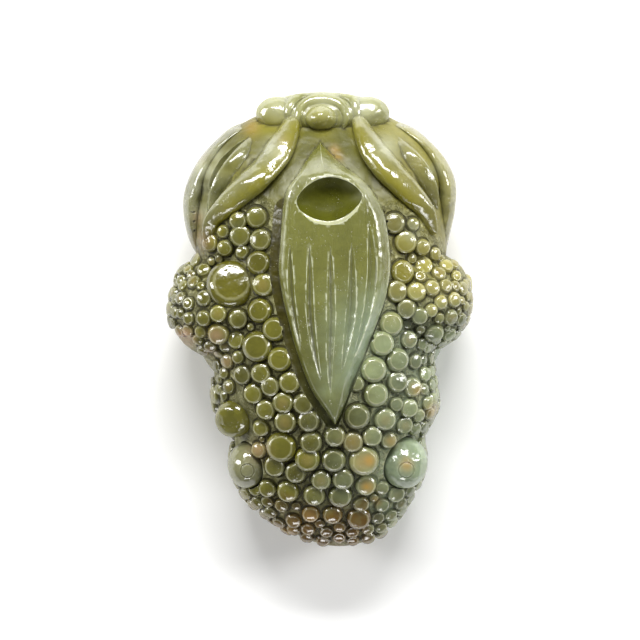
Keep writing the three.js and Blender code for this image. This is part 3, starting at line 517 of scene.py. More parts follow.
# One button: a root that sinks into the skin, a steep wall, a rounded shoulder and a nearly flat top. Each row
# of the profile is a ring of the ball, from the top down.
def buttonForm(segments, profile):
    shape = bmesh.new()
    bmesh.ops.create_uvsphere(shape, u_segments=segments, v_segments=len(profile) - 1, radius=1.0)
    for v in shape.verts:
        radius, height = profile[round(math.acos(max(-1.0, min(1.0, v.co.z))) / math.pi * (len(profile) - 1))]
        turn = math.atan2(v.co.y, v.co.x)
        v.co = (radius * math.cos(turn), radius * math.sin(turn), height)
    return shape


smallProfile = [(0.0, 1.06), (0.62, 1.01), (0.86, 0.76), (0.985, 0.18), (1.0, -0.4), (0.0, -1.4)]
bigProfile = [(0.0, 1.04), (0.2, 1.035), (0.4, 1.02), (0.58, 0.99), (0.71, 0.94), (0.82, 0.83), (0.90, 0.66), (0.96, 0.44),
              (0.99, 0.2), (1.0, -0.1), (1.0, -0.4), (0.0, -1.4)]


# Warts lean from the skin's own normal towards the way up, as a drill held from above leaves them.
def wartFacing(normal):
    facing = Vector(normal)
    return (facing + warts["lean"] * max(0.0, facing.z) * Vector((0, 0, 1))).normalized()


def wartField(points, normals, radii):
    field = bmesh.new()
    whichWart = field.faces.layers.int.new("wart")
    small, big = bpy.data.meshes.new("button"), bpy.data.meshes.new("big button")
    for mesh, segments, profile in ((small, warts["segments"], smallProfile), (big, 40, bigProfile)):
        shape = buttonForm(segments, profile)
        shape.to_mesh(mesh)
        shape.free()
    for number, (point, normal, radius) in enumerate(zip(points, normals, radii)):
        first, firstFace = len(field.verts), len(field.faces)
        field.from_mesh(big if radius > warts["bigFrom"] else small)
        field.verts.ensure_lookup_table()
        field.faces.ensure_lookup_table()
        for face in field.faces[firstFace:]:
            face[whichWart] = number + 1
        tall = wartHeight(radius)
        turned = wartFacing(normal).to_track_quat("Z", "Y").to_matrix().to_4x4()
        place = Matrix.Translation(Vector(point)) @ turned @ Matrix.Diagonal((radius, radius, tall, 1.0))
        bmesh.ops.transform(field, matrix=place, verts=field.verts[first:])
    return field


def longWartForm():
    x, y = longWart["centre"]
    point = Vector((x, y, float(skinTop(x, y))))
    shape = buttonForm(56, bigProfile)
    turned = wartFacing(skinNormals(directionsOf(np.array([point[:]])))[0]).to_track_quat("Z", "Y").to_matrix().to_4x4()
    size = Matrix.Diagonal((longWart["radii"][0], longWart["radii"][1], longWart["height"], 1.0))
    bmesh.ops.transform(shape, matrix=Matrix.Translation(point) @ turned @ size, verts=shape.verts)
    return shape


# Folded hind legs, seen as three strands on each side over a hollow behind the knee. The thigh and calf follow
# the skin. The shin wraps the outside of the haunch and has its own height.
hindLegs = [
    {
        "thigh": [(-2.9, 23.2), (-3.9, 20.4), (-5.3, 17.6), (-7.5, 15.1), (-9.9, 12.8), (-11.7, 10.8), (-12.4, 8.3)],
        "thighWide": [1.7, 2.15, 2.1, 1.75, 1.4, 0.95, 0.5],
        "pocket": [(-8.6, 19.8), (-10.5, 17.4), (-12.0, 14.0), (-12.7, 11.0)], "pocketWide": [0.7, 1.15, 0.95, 0.4],
        "calf": [(-7.4, 20.2), (-8.9, 17.8), (-10.7, 14.9), (-12.1, 11.6)], "calfWide": [0.6, 1.0, 0.85, 0.4],
        "shin": [(-6.4, 22.0, 9.6), (-8.9, 21.2, 9.7), (-10.5, 20.0, 9.7), (-12.1, 18.2, 9.8), (-13.4, 16.1, 9.8),
                 (-14.2, 13.8, 9.7), (-14.35, 11.6, 9.5), (-14.0, 9.1, 9.1), (-13.3, 6.9, 8.7)],
        "nicks": [(-13.95, 11.8), (-13.95, 10.8), (-13.95, 9.8)],
    },
    {
        "thigh": [(3.6, 23.0), (4.7, 20.5), (5.8, 18.3), (7.4, 16.1), (9.4, 13.9), (11.1, 11.8), (12.1, 9.2)],
        "thighWide": [1.6, 1.95, 2.0, 1.8, 1.5, 1.15, 0.55],
        "pocket": [(8.8, 19.4), (10.4, 17.3), (11.7, 15.0), (12.4, 12.3)], "pocketWide": [0.5, 0.9, 0.8, 0.4],
        "calf": [(7.9, 20.2), (9.6, 17.8), (11.2, 15.0), (12.4, 12.0)], "calfWide": [0.6, 1.15, 1.0, 0.4],
        "shin": [(6.8, 22.1, 9.6), (9.0, 21.2, 9.7), (10.7, 19.9, 9.7), (12.3, 18.1, 9.8), (13.4, 16.1, 9.8),
                 (13.8, 14.2, 9.7), (13.7, 11.8, 9.5), (13.4, 9.6, 9.1), (13.2, 7.3, 8.7)],
        "nicks": [],
    },
]
limb = {
    "thighDeep": 1.75, "thighLift": 0.35, "calfDeep": 1.5, "calfLift": -0.35, "pocketDeep": 1.5, "pocketLift": 0.3,
    "shinWide": 2.3, "shinDeep": 1.0,
    "foot": [(4.5, 19.6, 2.4), (8.6, 17.0, 2.1), (11.6, 12.0, 1.7)],
    "forearm": [(13.6, 0.8, 6.2), (11.4, -3.4, 4.0), (9.6, -7.0, 1.8)],
    "hindToes": ((11.0, 13.0, 1.3), [(13.4, 8.6), (12.1, 7.4), (10.6, 7.4)]),
    "frontToes": ((9.4, -6.6, 1.4), [(10.6, -10.6), (9.4, -11.6), (7.9, -11.8)]),
    "leftReach": 0.97,
}
toe = {"wide": 0.95, "deep": 0.95, "segments": 14, "rings": 16}


def mirrored(points, side):
    across = limb["leftReach"] if side > 0 else -1.0
    return [(across * x, y, z) for x, y, z in points]


def pocketForms():
    return [spindle(onSkin(leg["pocket"], limb["pocketLift"]), leg["pocketWide"], limb["pocketDeep"], plump=0.5, segments=20, rings=40)
            for leg in hindLegs]


def legForms():
    forms = []
    for leg in hindLegs:
        forms.append(spindle(onSkin(leg["calf"], limb["calfLift"]), leg["calfWide"], limb["calfDeep"], plump=0.55, square=1.7,
                             segments=20, rings=40))
        forms.append(spindle(leg["shin"], limb["shinWide"], limb["shinDeep"], plump=0.35, segments=36, rings=80))
        forms.append(spindle(onSkin(leg["thigh"], limb["thighLift"]), leg["thighWide"], limb["thighDeep"], plump=0.4,
                             square=1.8, segments=36, rings=72))
    for side in (-1, 1):
        forms.append(spindle(mirrored(limb["foot"], side), 2.2, 1.8))
        forms.append(spindle(mirrored(limb["forearm"], side), 2.0, 1.9))
        for root, tips in (limb["hindToes"], limb["frontToes"]):
            for x, y in tips:
                forms.append(spindle(mirrored([root, (x, y, 0.7)], side), **toe))
    return forms


# The folded lobes over the end of the rump: a bud in the middle with an arch round it, a crescent and a lobe on each
# side, a rim behind them, and the stem under them.
lobes = {
    "pillow": ((0.0, 22.3, 9.6), (6.7, 2.5, 3.6)),
    "bud": ((-0.1, 22.1, 12.3), (1.85, 1.4, 2.0)),
    "sides": [((-4.9, 22.6, 10.9), (2.35, 1.9, 1.7)), ((5.0, 22.6, 10.9), (2.4, 1.9, 1.7))],
    "crescents": [
        [(-2.3, 20.6, 12.4), (-2.55, 22.2, 12.7), (-1.8, 23.6, 12.4), (0.0, 24.1, 12.1), (1.85, 23.6, 12.4),
         (2.55, 22.2, 12.7), (2.2, 20.6, 12.4)],
        [(-3.2, 21.0, 12.1), (-3.6, 22.7, 12.2), (-3.0, 24.0, 11.7), (-1.5, 24.7, 10.8)],
        [(2.9, 20.9, 12.1), (3.65, 22.5, 12.2), (3.3, 23.9, 11.7), (1.9, 24.7, 10.8)],
    ],
    "rim": [(-7.2, 22.2, 8.9), (-4.6, 23.8, 8.9), (-0.1, 24.35, 8.9), (4.7, 23.8, 8.9), (7.4, 22.2, 8.9)],
    "stem": [(0.2, 22.6, 8.5), (0.2, 22.8, 4.5), (0.2, 19.5, 1.0)],
}


def lobeForms():
    forms = [oval(*lobes["pillow"], 64, 32), oval(*lobes["bud"], 48, 32)]
    forms += [oval(*side, 40, 28) for side in lobes["sides"]]
    forms += [spindle(line, 0.72, 0.62, plump=0.5, square=1.7, segments=16, rings=40, facing=(0, 0.3, 1)) for line in lobes["crescents"]]
    forms.append(spindle(lobes["rim"], 2.2, 0.75, plump=0.3, segments=28, rings=60, facing=(0, 1, 0)))
    forms.append(spindle(lobes["stem"], 2.2, 1.7))
    return forms


# A shallow crease round an eyeball.
def eyeSocket(eye):
    x, y, z = eye["centre"]
    return oval((x, y, z + 0.3), [radius + 0.13 for radius in eye["radii"]], 48, 36)


# A ring groove cut round the iris of an eye.
def irisGroove(eye):
    centre, radii = Vector(eye["centre"]), Vector(eye["radii"])
    x, y = eye["iris"]
    rise = math.sqrt(max(0.05, 1.0 - ((x - centre.x) / radii.x) ** 2 - ((y - centre.y) / radii.y) ** 2))
    top = Vector((x, y, centre.z + radii.z * rise))
    normal = Vector([(top[k] - centre[k]) / radii[k] ** 2 for k in range(3)]).normalized()
    shape = bmesh.new()
    bmesh.ops.create_circle(shape, segments=10, radius=0.10)
    bmesh.ops.rotate(shape, verts=shape.verts, cent=(0, 0, 0), matrix=Matrix.Rotation(math.radians(90), 3, "X"))
    bmesh.ops.translate(shape, vec=(eye["irisRadius"], 0, 0), verts=shape.verts)
    bmesh.ops.spin(shape, geom=shape.verts[:] + shape.edges[:], cent=(0, 0, 0), axis=(0, 0, 1),
                   angle=2.0 * math.pi, steps=40, use_merge=True)
    turned = normal.to_track_quat("Z", "Y").to_matrix().to_4x4()
    lowered = top - normal * 0.5 * eye["irisRadius"] ** 2 / min(radii)
    bmesh.ops.transform(shape, matrix=Matrix.Translation(lowered) @ turned, verts=shape.verts)
    bmesh.ops.recalc_face_normals(shape, faces=shape.faces)
    return shape


# A short nick across the shin, cut where a vertical ray meets the stone.
def nickForm(toad, x, y):
    line = []
    for step in (-0.55, 0.0, 0.55):
        found, place, _, _ = toad.ray_cast((x + step, y - 0.2 * step, 40.0), (0.0, 0.0, -1.0))
        line.append(place if found else (x + step, y, 10.0))
    return spindle(line, 0.2, 0.16, segments=8, rings=14, facing=(0, 0, 1))


def mouthGroove():
    turn = np.radians(62.0) * np.linspace(-1.0, 1.0, 17)
    fall = -0.14 * np.abs(np.sin(turn)) - 0.02
    points = skinPoints(unit(np.stack([np.sin(turn), -np.cos(turn), fall], axis=1)))
    return spindle(points, 0.45, 0.7, plump=0.3, segments=12, rings=70)


def trunkForm():
    shape = startBall(trunk["segments"], trunk["rings"])
    return moveVerts(shape, skinPoints(readVerts(shape)))


def floorCut():
    shape = bmesh.new()
    bmesh.ops.create_cube(shape, size=1.0)
    bmesh.ops.scale(shape, vec=(80, 80, 10), verts=shape.verts)
    bmesh.ops.translate(shape, vec=(0, 0, -5), verts=shape.verts)
    return shape


wartPoints, wartNormals, wartRadii = growWarts()
print("%d warts grown" % len(wartRadii))

toad = makeObject("jadeToad", trunkForm())
carve(toad, wartField(wartPoints, wartNormals, wartRadii), "UNION", "wart")
carve(toad, longWartForm(), "UNION", "gland")
carve(toad, oval(*neckGland, 40, 28), "UNION", "gland")
print("warts carved, %d faces" % len(toad.data.polygons))
carve(toad, gutterForm(), "DIFFERENCE", "gutter")
carve(toad, leafForm(), "UNION", "leaf")
for form in pocketForms():
    carve(toad, form, "DIFFERENCE", "limb")
for form in lobeForms():
    carve(toad, form, "UNION", "lobe")
for form in legForms():
    carve(toad, form, "UNION", "limb")
for eye in eyes:
    carve(toad, eyeSocket(eye), "DIFFERENCE", "gutter")
    carve(toad, oval(eye["centre"], eye["radii"], 48, 36), "UNION", "eye")
    carve(toad, irisGroove(eye), "DIFFERENCE", "eye")
print("leaf, legs, lobes and eyes joined, %d faces" % len(toad.data.polygons))
carve(toad, hollowForm(hollow["rimWider"], hollow["rimDepth"]), "DIFFERENCE", "rim")
carve(toad, hollowForm(1.0, hollow["radii"][2]), "DIFFERENCE", "hollow")
for line, wide in flutes:
    carve(toad, fluteForm(line, wide), "DIFFERENCE", "leaf")
for leg in hindLegs:
    for x, y in leg["nicks"]:
        carve(toad, nickForm(toad, x, y), "DIFFERENCE", "limb")
carve(toad, mouthGroove(), "DIFFERENCE", "gutter")
carve(toad, floorCut(), "DIFFERENCE", "skin")
triangles = sum(len(face.vertices) - 2 for face in toad.data.polygons)
print("leaf, mouth and belly cut, %d triangles" % triangles)

# Stains in the stone, with painted shade and painted highlights among them: place, radius and strength of each.
# Amber, moss and pink are the stone's own colours. The shade spots paint shade into the pockets behind the knees,
# the crease below the right thigh, the low right elbow and the slope on the right of the prow, where they dim a
# reflection; on the leaf's tip and by the toad's right eye they are the stone's deeper olive. The highlight spots
# are painted highlights on the prow crest, the rump and its lobes, the left knee and the inner edges of the shins.
stains = {
    "amber": [
        ((5.1, -15.3), 0.55, 0.75), ((5.0, -18.2), 0.5, 0.75), ((3.35, -13.3), 0.9, 0.3), ((4.2, -15.5), 1.0, 0.25),
        ((1.4, 18.5), 0.45, 0.45), ((1.8, 17.8), 0.4, 0.45), ((6.0, -19.8), 0.4, 0.5), ((-7.6, 21.2), 0.8, 0.35),
        ((9.2, -15.8), 0.55, 1.0), ((9.15, -15.3), 0.4, 0.8), ((7.6, -13.2), 0.5, 0.4), ((10.3, -7.6), 0.5, 0.5),
        ((12.0, -9.9), 0.7, 0.5), ((-1.3, -21.8), 0.8, 0.2), ((-4.0, 19.2), 0.6, 0.5),
    ],
    "moss": [
        ((-5.3, 21.5), 1.5, 0.9), ((5.4, 21.4), 1.5, 0.5), ((-0.2, 22.1), 1.5, 0.8), ((-9.9, 4.0), 2.6, 0.5),
        ((8.8, 5.1), 1.3, 0.6), ((9.1, 8.2), 1.2, 0.5), ((11.1, 5.8), 1.1, 0.5), ((-9.9, 16.9), 1.0, 0.5),
        ((12.2, 16.3), 1.2, 0.5),
    ],
    # painted shade in the pockets, the crease below the right thigh, the low right elbow and right of the prow; the
    # stone's deeper olive on the leaf's tip and by the right eye
    "shade": [
        ((1.3, -10.6), 2.0, 0.6), ((-1.6, -1.0), 1.6, 0.5), ((-1.2, -4.0), 1.5, 0.6), ((-0.8, -7.0), 1.3, 0.5),
        ((-10.3, 17.2), 0.8, 0.7), ((-11.6, 14.6), 0.8, 0.6), ((12.0, 16.0), 0.9, 0.6), ((12.7, 13.8), 0.7, 0.5),
        ((-9.7, -14.1), 1.3, 0.7), ((-7.7, 12.6), 1.3, 0.7), ((-5.6, 14.4), 0.9, 0.5), ((1.6, -9.8), 1.2, 0.5),
        ((-13.9, -3.6), 1.3, 0.7),
    ],
    # painted highlights on the prow crest, the rump and lobes, the left knee and the shins' inner edges
    "painted_highlight": [
        ((-3.3, 14.2), 0.7, 0.6), ((-2.1, 15.5), 0.8, 0.6), ((-0.4, 16.2), 0.8, 0.55), ((1.6, 16.2), 0.8, 0.5),
        ((3.4, 15.3), 0.8, 0.6), ((4.6, 13.6), 0.7, 0.5), ((-5.2, 18.6), 1.1, 0.5), ((7.0, 19.0), 1.1, 0.5),
        ((-4.8, 23.2), 1.3, 0.5), ((4.8, 23.2), 1.4, 0.6), ((0.2, 23.6), 1.2, 0.5), ((9.9, 9.7), 0.9, 0.4),
        ((-11.7, 18.1), 0.7, 0.45), ((-12.7, 16.4), 0.8, 0.6), ((-13.2, 14.4), 0.7, 0.45), ((-13.4, 12.0), 0.8, 0.4),
        ((12.6, 16.6), 0.7, 0.35), ((13.3, 14.2), 0.7, 0.35),
    ],
    "pink": [
        ((-14.9, -1.9), 0.8, 1.0), ((-13.2, 8.6), 1.0, 0.4), ((-13.6, 11.2), 0.6, 0.3), ((-13.0, 17.8), 0.8, 0.35),
        ((-6.95, -14.2), 0.9, 0.35), ((-11.6, -1.7), 0.7, 0.5), ((-12.2, -3.5), 0.6, 0.5), ((-10.4, -4.6), 0.6, 0.4),
    ],
}


# The side of each thigh that faces the leaf is yellow, and painted shade darkens the crease just beyond that side.
for leg in hindLegs:
    line = alongCurve(leg["thigh"], np.linspace(0.12, 0.95, 15))
    for (x, y), (dx, dy) in zip(line, np.gradient(line, axis=0)):
        side = math.copysign(0.8, dx) / math.hypot(dx, dy)
        stains["moss"].append(((x + side * dy, y - side * dx), 0.95, 0.95))
        stains["shade"].append(((x + 2.7 * side * dy, y - 2.7 * side * dx), 0.8, 0.6))


# What the finish follows: the centre, axis, radius and tone of a face's own or nearest wart, whether the face is
# ground between the warts, how sharp a ridge or crease runs through a vertex, and how much stain, painted shade and
# painted highlight it carries.
def markSurface(mesh):
    tree = KDTree(len(wartPoints))
    for i, point in enumerate(wartPoints):
        tree.insert(Vector(point), i)
    tree.balance()
    count = len(mesh.polygons)
    zone, wart = np.zeros(count, dtype=np.int32), np.zeros(count, dtype=np.int32)
    mesh.attributes["zone"].data.foreach_get("value", zone)
    mesh.attributes["wart"].data.foreach_get("value", wart)
    for face in mesh.polygons:
        if wart[face.index] == 0:
            wart[face.index] = 1 + min(tree.find_n(face.center, 3), key=lambda found: found[2] - wartRadii[found[1]])[1]
    own = wart - 1
    tones = np.mod(np.arange(len(wartPoints)) * 0.61803, 1.0)
    for name, kind, values in (
        ("wartCentre", "FLOAT_VECTOR", metresPerMm * wartPoints[own]),
        ("wartAxis", "FLOAT_VECTOR", np.array([wartFacing(normal)[:] for normal in wartNormals])[own]),
        ("wartRadius", "FLOAT", metresPerMm * wartRadii[own]),
        ("wartTone", "FLOAT", tones[own]),
        ("button", "FLOAT", zone == zones.index("wart")),
        ("ground", "FLOAT", zone == zones.index("skin")),
    ):
        key = "vector" if kind == "FLOAT_VECTOR" else "value"
        mesh.attributes.new(name, kind, "FACE").data.foreach_set(key, np.ascontiguousarray(values, np.float32).ravel())

    shape = bmesh.new()
    shape.from_mesh(mesh)
    worn, crease = (np.zeros(len(mesh.vertices), dtype=np.float32) for _ in range(2))
    for edge in shape.edges:
        turn = math.degrees(edge.calc_face_angle_signed(0.0))
        for v in edge.verts:
            worn[v.index] = max(worn[v.index], min(1.0, (turn - 22.0) / 30.0))
            crease[v.index] = max(crease[v.index], min(1.0, (-turn - 20.0) / 40.0))
    shape.free()
    mesh.attributes.new("worn", "FLOAT", "POINT").data.foreach_set("value", worn)
    mesh.attributes.new("crease", "FLOAT", "POINT").data.foreach_set("value", crease)

    places = np.zeros(3 * len(mesh.vertices))
    mesh.vertices.foreach_get("co", places)
    places = places.reshape(-1, 3)
    for name, spots in stains.items():
        stained = np.zeros(len(places), dtype=np.float32)
        for (x, y), radius, strength in spots:
            away = places - np.array([x, y, float(skinTop(x, y)) + 0.5])
            away = np.linalg.norm(away * [1.0, 1.0, 0.3], axis=1) / (1.25 * radius)
            stained = np.maximum(stained, strength * bell(away))
        mesh.attributes.new(name, "FLOAT", "POINT").data.foreach_set("value", stained.astype(np.float32))


markSurface(toad.data)
toad.data.transform(Matrix.Scale(metresPerMm, 4))
toad.data.shade_smooth()
toad.data.set_sharp_from_angle(angle=math.radians(38))
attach(toad, "root")
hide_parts("money_toad")
print("surface marked")


# Materials
# Adds a node and sets or links its inputs in their order; None leaves an input as it is.
def put(tree, kind, *values, **settings):
    node = tree.nodes.new(kind)
    node.location = (200 * (len(tree.nodes) % 9) - 1900, 600 - 260 * (len(tree.nodes) // 9))
    for name, value in settings.items():
        setattr(node, name, value)
    for socket, value in zip([socket for socket in node.inputs if socket.enabled], values):
        feed(tree, socket, value)
    return node


def feed(tree, socket, value):
    if isinstance(value, bpy.types.NodeSocket):
        tree.links.new(value, socket)
    elif value is not None:
        socket.default_value = value


def maths(tree, operation, *values):
    return put(tree, "ShaderNodeMath", *values, operation=operation).outputs[0]


# Rises smoothly from low to high while the value goes from start to end.
def rise(tree, value, start, end, low=0.0, high=1.0):
    return put(tree, "ShaderNodeMapRange", value, start, end, low, high, interpolation_type="SMOOTHSTEP").outputs[0]


def tint(tree, amount, colour, other, way="MIX"):
    return put(tree, "ShaderNodeMix", amount, colour, other, data_type="RGBA", blend_type=way).outputs[2]


# A number from the noise texture, about 0.5 all over; size is the width of its lumps in mm.
def lumps(tree, vector, size, detail=2.0, roughness=0.5, distortion=0.0):
    return put(tree, "ShaderNodeTexNoise", vector, 1.0 / size, detail, roughness, 2.0, distortion).outputs[0]


def marked(tree, name):
    node = put(tree, "ShaderNodeAttribute", attribute_name=name)
    return node.outputs["Vector"], node.outputs["Fac"]


# Places on the toad in mm.
def places(tree):
    return put(tree, "ShaderNodeVectorMath", put(tree, "ShaderNodeTexCoord").outputs["Object"], 1000.0,
               operation="SCALE").outputs[0]


def startGroup(name, inputs, outputs):
    group = bpy.data.node_groups.new(name, "ShaderNodeTree")
    for label, value in inputs.items():
        kind = "NodeSocketColor" if isinstance(value, tuple) else "NodeSocketFloat"
        group.interface.new_socket(label, in_out="INPUT", socket_type=kind).default_value = value
    for label, kind in outputs.items():
        group.interface.new_socket(label, in_out="OUTPUT", socket_type="NodeSocket" + kind)
    return group, group.nodes.new("NodeGroupInput").outputs, group.nodes.new("NodeGroupOutput").inputs


def useGroup(tree, group, values):
    node = put(tree, "ShaderNodeGroup", node_tree=group)
    for label, value in values.items():
        feed(tree, node.inputs[label], value)
    return node.outputs


# The stone itself: olive, turning celadon at the neck, golden on the left flank and brown at the snout, then the
# colours of its stains, of the painted shade and of the painted highlights.
stone = {
    "olive": (0.105, 0.100, 0.010, 1.0),
    "celadon": (0.215, 0.265, 0.165, 1.0),
    "golden": (0.270, 0.245, 0.070, 1.0),
    "brown": (0.118, 0.062, 0.003, 1.0),
    "pale": (0.250, 0.230, 0.105, 1.0),
    "amber": (0.450, 0.240, 0.030, 1.0),
    "moss": (0.205, 0.185, 0.006, 1.0),
    # painted shade in creases, pockets and the low elbow, and the deeper olive of the leaf's tip
    "shade": (0.085, 0.088, 0.018, 1.0),
    # painted highlights
    "painted_highlight": (0.480, 0.490, 0.340, 1.0),
    "pink": (0.420, 0.250, 0.170, 1.0),
}


def cloudGroup():
    group, given, result = startGroup(
        "jade clouds", {"Stone": stone["olive"], "Celadon": 1.0, "Golden": 1.0, "Brown": 1.0, "Pale": 1.0, "Mottle": 0.3},
        {"Color": "Color"})
    spot = places(group)
    x, y, z = put(group, "ShaderNodeSeparateXYZ", spot).outputs
    drift = maths(group, "MULTIPLY_ADD", lumps(group, spot, 5.0, 3.0, 0.6, 0.6), 9.0, -4.5)
    across, along = maths(group, "ADD", x, drift), maths(group, "ADD", y, drift)
    colour = given["Stone"]
    for name, first, second in (
        ("Pale", rise(group, maths(group, "MULTIPLY_ADD", drift, 0.3, z), 10.5, 5.5), rise(group, along, -14.0, -6.0, 0.5)),
        ("Celadon", rise(group, across, -3.5, 8.0), rise(group, along, 6.5, -3.0)),
        ("Golden", rise(group, across, 3.0, 10.0), rise(group, along, -1.5, 4.0)),
        ("Brown", rise(group, along, -19.0, -23.0), rise(group, across, 9.0, 3.5)),
    ):
        amount = maths(group, "MULTIPLY", maths(group, "MULTIPLY", first, second), given[name])
        colour = tint(group, amount, colour, stone[name.lower()])
    cloud = maths(group, "ADD", lumps(group, spot, 2.2, 4.0, 0.62, 0.8), lumps(group, spot, 7.0, 2.0))
    light = maths(group, "MULTIPLY_ADD", maths(group, "SUBTRACT", cloud, 1.0), given["Mottle"], 1.0)
    colour = tint(group, 1.0, colour, put(group, "ShaderNodeCombineXYZ", light, light, light).outputs[0], "MULTIPLY")
    # stains, painted shade and painted highlights, each from its own mark on the mesh
    for name in stains:
        colour = tint(group, marked(group, name)[1], colour, stone[name])
    group.links.new(colour, result["Color"])
    return group


# How far a place lies outside the rim of its wart, in mm, and what follows from that: the lighter line round the flat
# top, partly a tool mark and partly a painted highlight of the rim, painted shade in the dark crevice round the wart,
# and the ridges of ground beyond it.
def wartGroup():
    group, given, result = startGroup(
        "wart rings", {"Color": stone["olive"], "Tone spread": 0.5, "Ring": 0.4, "Crevice shade": 0.7, "Ground": 0.5},
        {"Color": "Color", "Height": "Float", "Ridge": "Float"})
    spot = put(group, "ShaderNodeTexCoord").outputs["Object"]
    away = put(group, "ShaderNodeVectorMath", spot, marked(group, "wartCentre")[0], operation="SUBTRACT").outputs[0]
    axis, radius = marked(group, "wartAxis")[0], marked(group, "wartRadius")[1]
    rising = put(group, "ShaderNodeVectorMath", away, axis, operation="DOT_PRODUCT").outputs["Value"]
    up = put(group, "ShaderNodeVectorMath", axis, rising, operation="SCALE").outputs[0]
    flat = put(group, "ShaderNodeVectorMath", away, up, operation="SUBTRACT").outputs[0]
    out = put(group, "ShaderNodeVectorMath", flat, operation="LENGTH").outputs["Value"]
    mm = places(group)
    wobble = maths(group, "MULTIPLY_ADD", lumps(group, mm, 0.6, 2.0), 0.20, -0.10)
    reach = maths(group, "ADD", maths(group, "DIVIDE", out, radius), maths(group, "MULTIPLY", wobble, 0.6))
    gap = maths(group, "MULTIPLY_ADD", maths(group, "SUBTRACT", out, radius), 1000.0, wobble)
    button, tone = marked(group, "button")[1], marked(group, "wartTone")[1]

    shade = maths(group, "MULTIPLY_ADD", maths(group, "SUBTRACT", tone, 0.5), given["Tone spread"], 1.0)
    colour = tint(group, 1.0, given["Color"], put(group, "ShaderNodeCombineXYZ", shade, shade, shade).outputs[0],
                  "MULTIPLY")
    warm = rise(group, maths(group, "FRACT", maths(group, "MULTIPLY", tone, 7.3)), 0.72, 0.86, 0.0, 0.20)
    warm = maths(group, "MULTIPLY", maths(group, "MULTIPLY", warm, button), rise(group, reach, 0.7, 0.2))
    colour = tint(group, warm, colour, (0.36, 0.25, 0.10, 1.0))
    # a lighter ring round the flat top: partly a tool mark, partly a painted highlight where the rim would catch the
    # light
    ring = maths(group, "MULTIPLY", rise(group, reach, 0.60, 0.69), rise(group, reach, 0.80, 0.71))
    ring = maths(group, "MULTIPLY", maths(group, "MULTIPLY", ring, button), given["Ring"])
    ridge = maths(group, "MULTIPLY", rise(group, gap, 0.10, 0.24), marked(group, "ground")[1])
    ridge = maths(group, "MULTIPLY", ridge, rise(group, gap, 1.5, 0.5))
    streak = rise(group, lumps(group, mm, 0.5, 3.0, 0.65, 1.2), 0.38, 0.60, 0.25)
    # painted shade in the dark crevice round each wart, weaker where the stone is pale
    crevice = maths(group, "MULTIPLY", rise(group, gap, -0.16, 0.0), rise(group, gap, 0.22, 0.10))
    stoneLight = put(group, "ShaderNodeRGBToBW", given["Color"]).outputs[0]  # pale jade glows in its crevices
    crevice = maths(group, "MULTIPLY", crevice, rise(group, stoneLight, 0.32, 0.12, 0.15, 1.0))
    crevice = maths(group, "MULTIPLY", crevice, given["Crevice shade"])
    # the pale colour of the ring's painted highlight and of the lighter ground ridges
    light = tint(group, 0.5, colour, (0.50, 0.49, 0.28, 1.0))
    colour = tint(group, ring, colour, light)
    pale = maths(group, "MULTIPLY", maths(group, "MULTIPLY", ridge, streak), given["Ground"])
    colour = tint(group, pale, colour, light)
    # near-black painted shade in the crevice
    colour = tint(group, crevice, colour, (0.026, 0.023, 0.003, 1.0))
    height = maths(group, "MULTIPLY_ADD", maths(group, "MULTIPLY", ridge, streak), 3.4,
                   maths(group, "MULTIPLY", ring, 0.5))
    group.links.new(colour, result["Color"])
    group.links.new(height, result["Height"])
    group.links.new(ridge, result["Ridge"])
    return group


# What the polishing left: soft waves, fine tool marks along the leaf, pits, and duller hollows.
def polishGroup():
    group, given, result = startGroup(
        "polish", {"Roughness": 0.16, "Waves": 0.5, "Wave scale": 0.9, "Tool marks": 0.2, "Pits": 0.2},
        {"Roughness": "Float", "Height": "Float", "Pit": "Float"})
    mm = places(group)
    lines = put(group, "ShaderNodeVectorMath", mm, (5.0, 0.35, 2.0), operation="MULTIPLY").outputs[0]
    swell = put(group, "ShaderNodeTexNoise", mm, given["Wave scale"], 2.0, 0.35, 2.0, 0.3).outputs[0]
    waves = maths(group, "MULTIPLY", swell, given["Waves"])
    marks = maths(group, "MULTIPLY", lumps(group, lines, 1.0, 3.0, 0.6), given["Tool marks"])
    pits = rise(group, lumps(group, mm, 0.22, 2.0, 0.6), 0.64, 0.74)
    pits = maths(group, "MULTIPLY", pits, rise(group, lumps(group, mm, 2.5), 0.45, 0.6))
    pits = maths(group, "MULTIPLY", pits, given["Pits"])
    height = maths(group, "SUBTRACT", maths(group, "ADD", waves, marks), pits)
    rough = maths(group, "MULTIPLY_ADD", lumps(group, mm, 1.6, 3.0, 0.7), 0.14, maths(group, "SUBTRACT", given["Roughness"], 0.07))
    rough = maths(group, "MULTIPLY_ADD", pits, 0.4, rough)
    rough = maths(group, "MULTIPLY_ADD", marked(group, "crease")[1], 0.25, rough)
    group.links.new(rough, result["Roughness"])
    group.links.new(height, result["Height"])
    group.links.new(pits, result["Pit"])
    return group


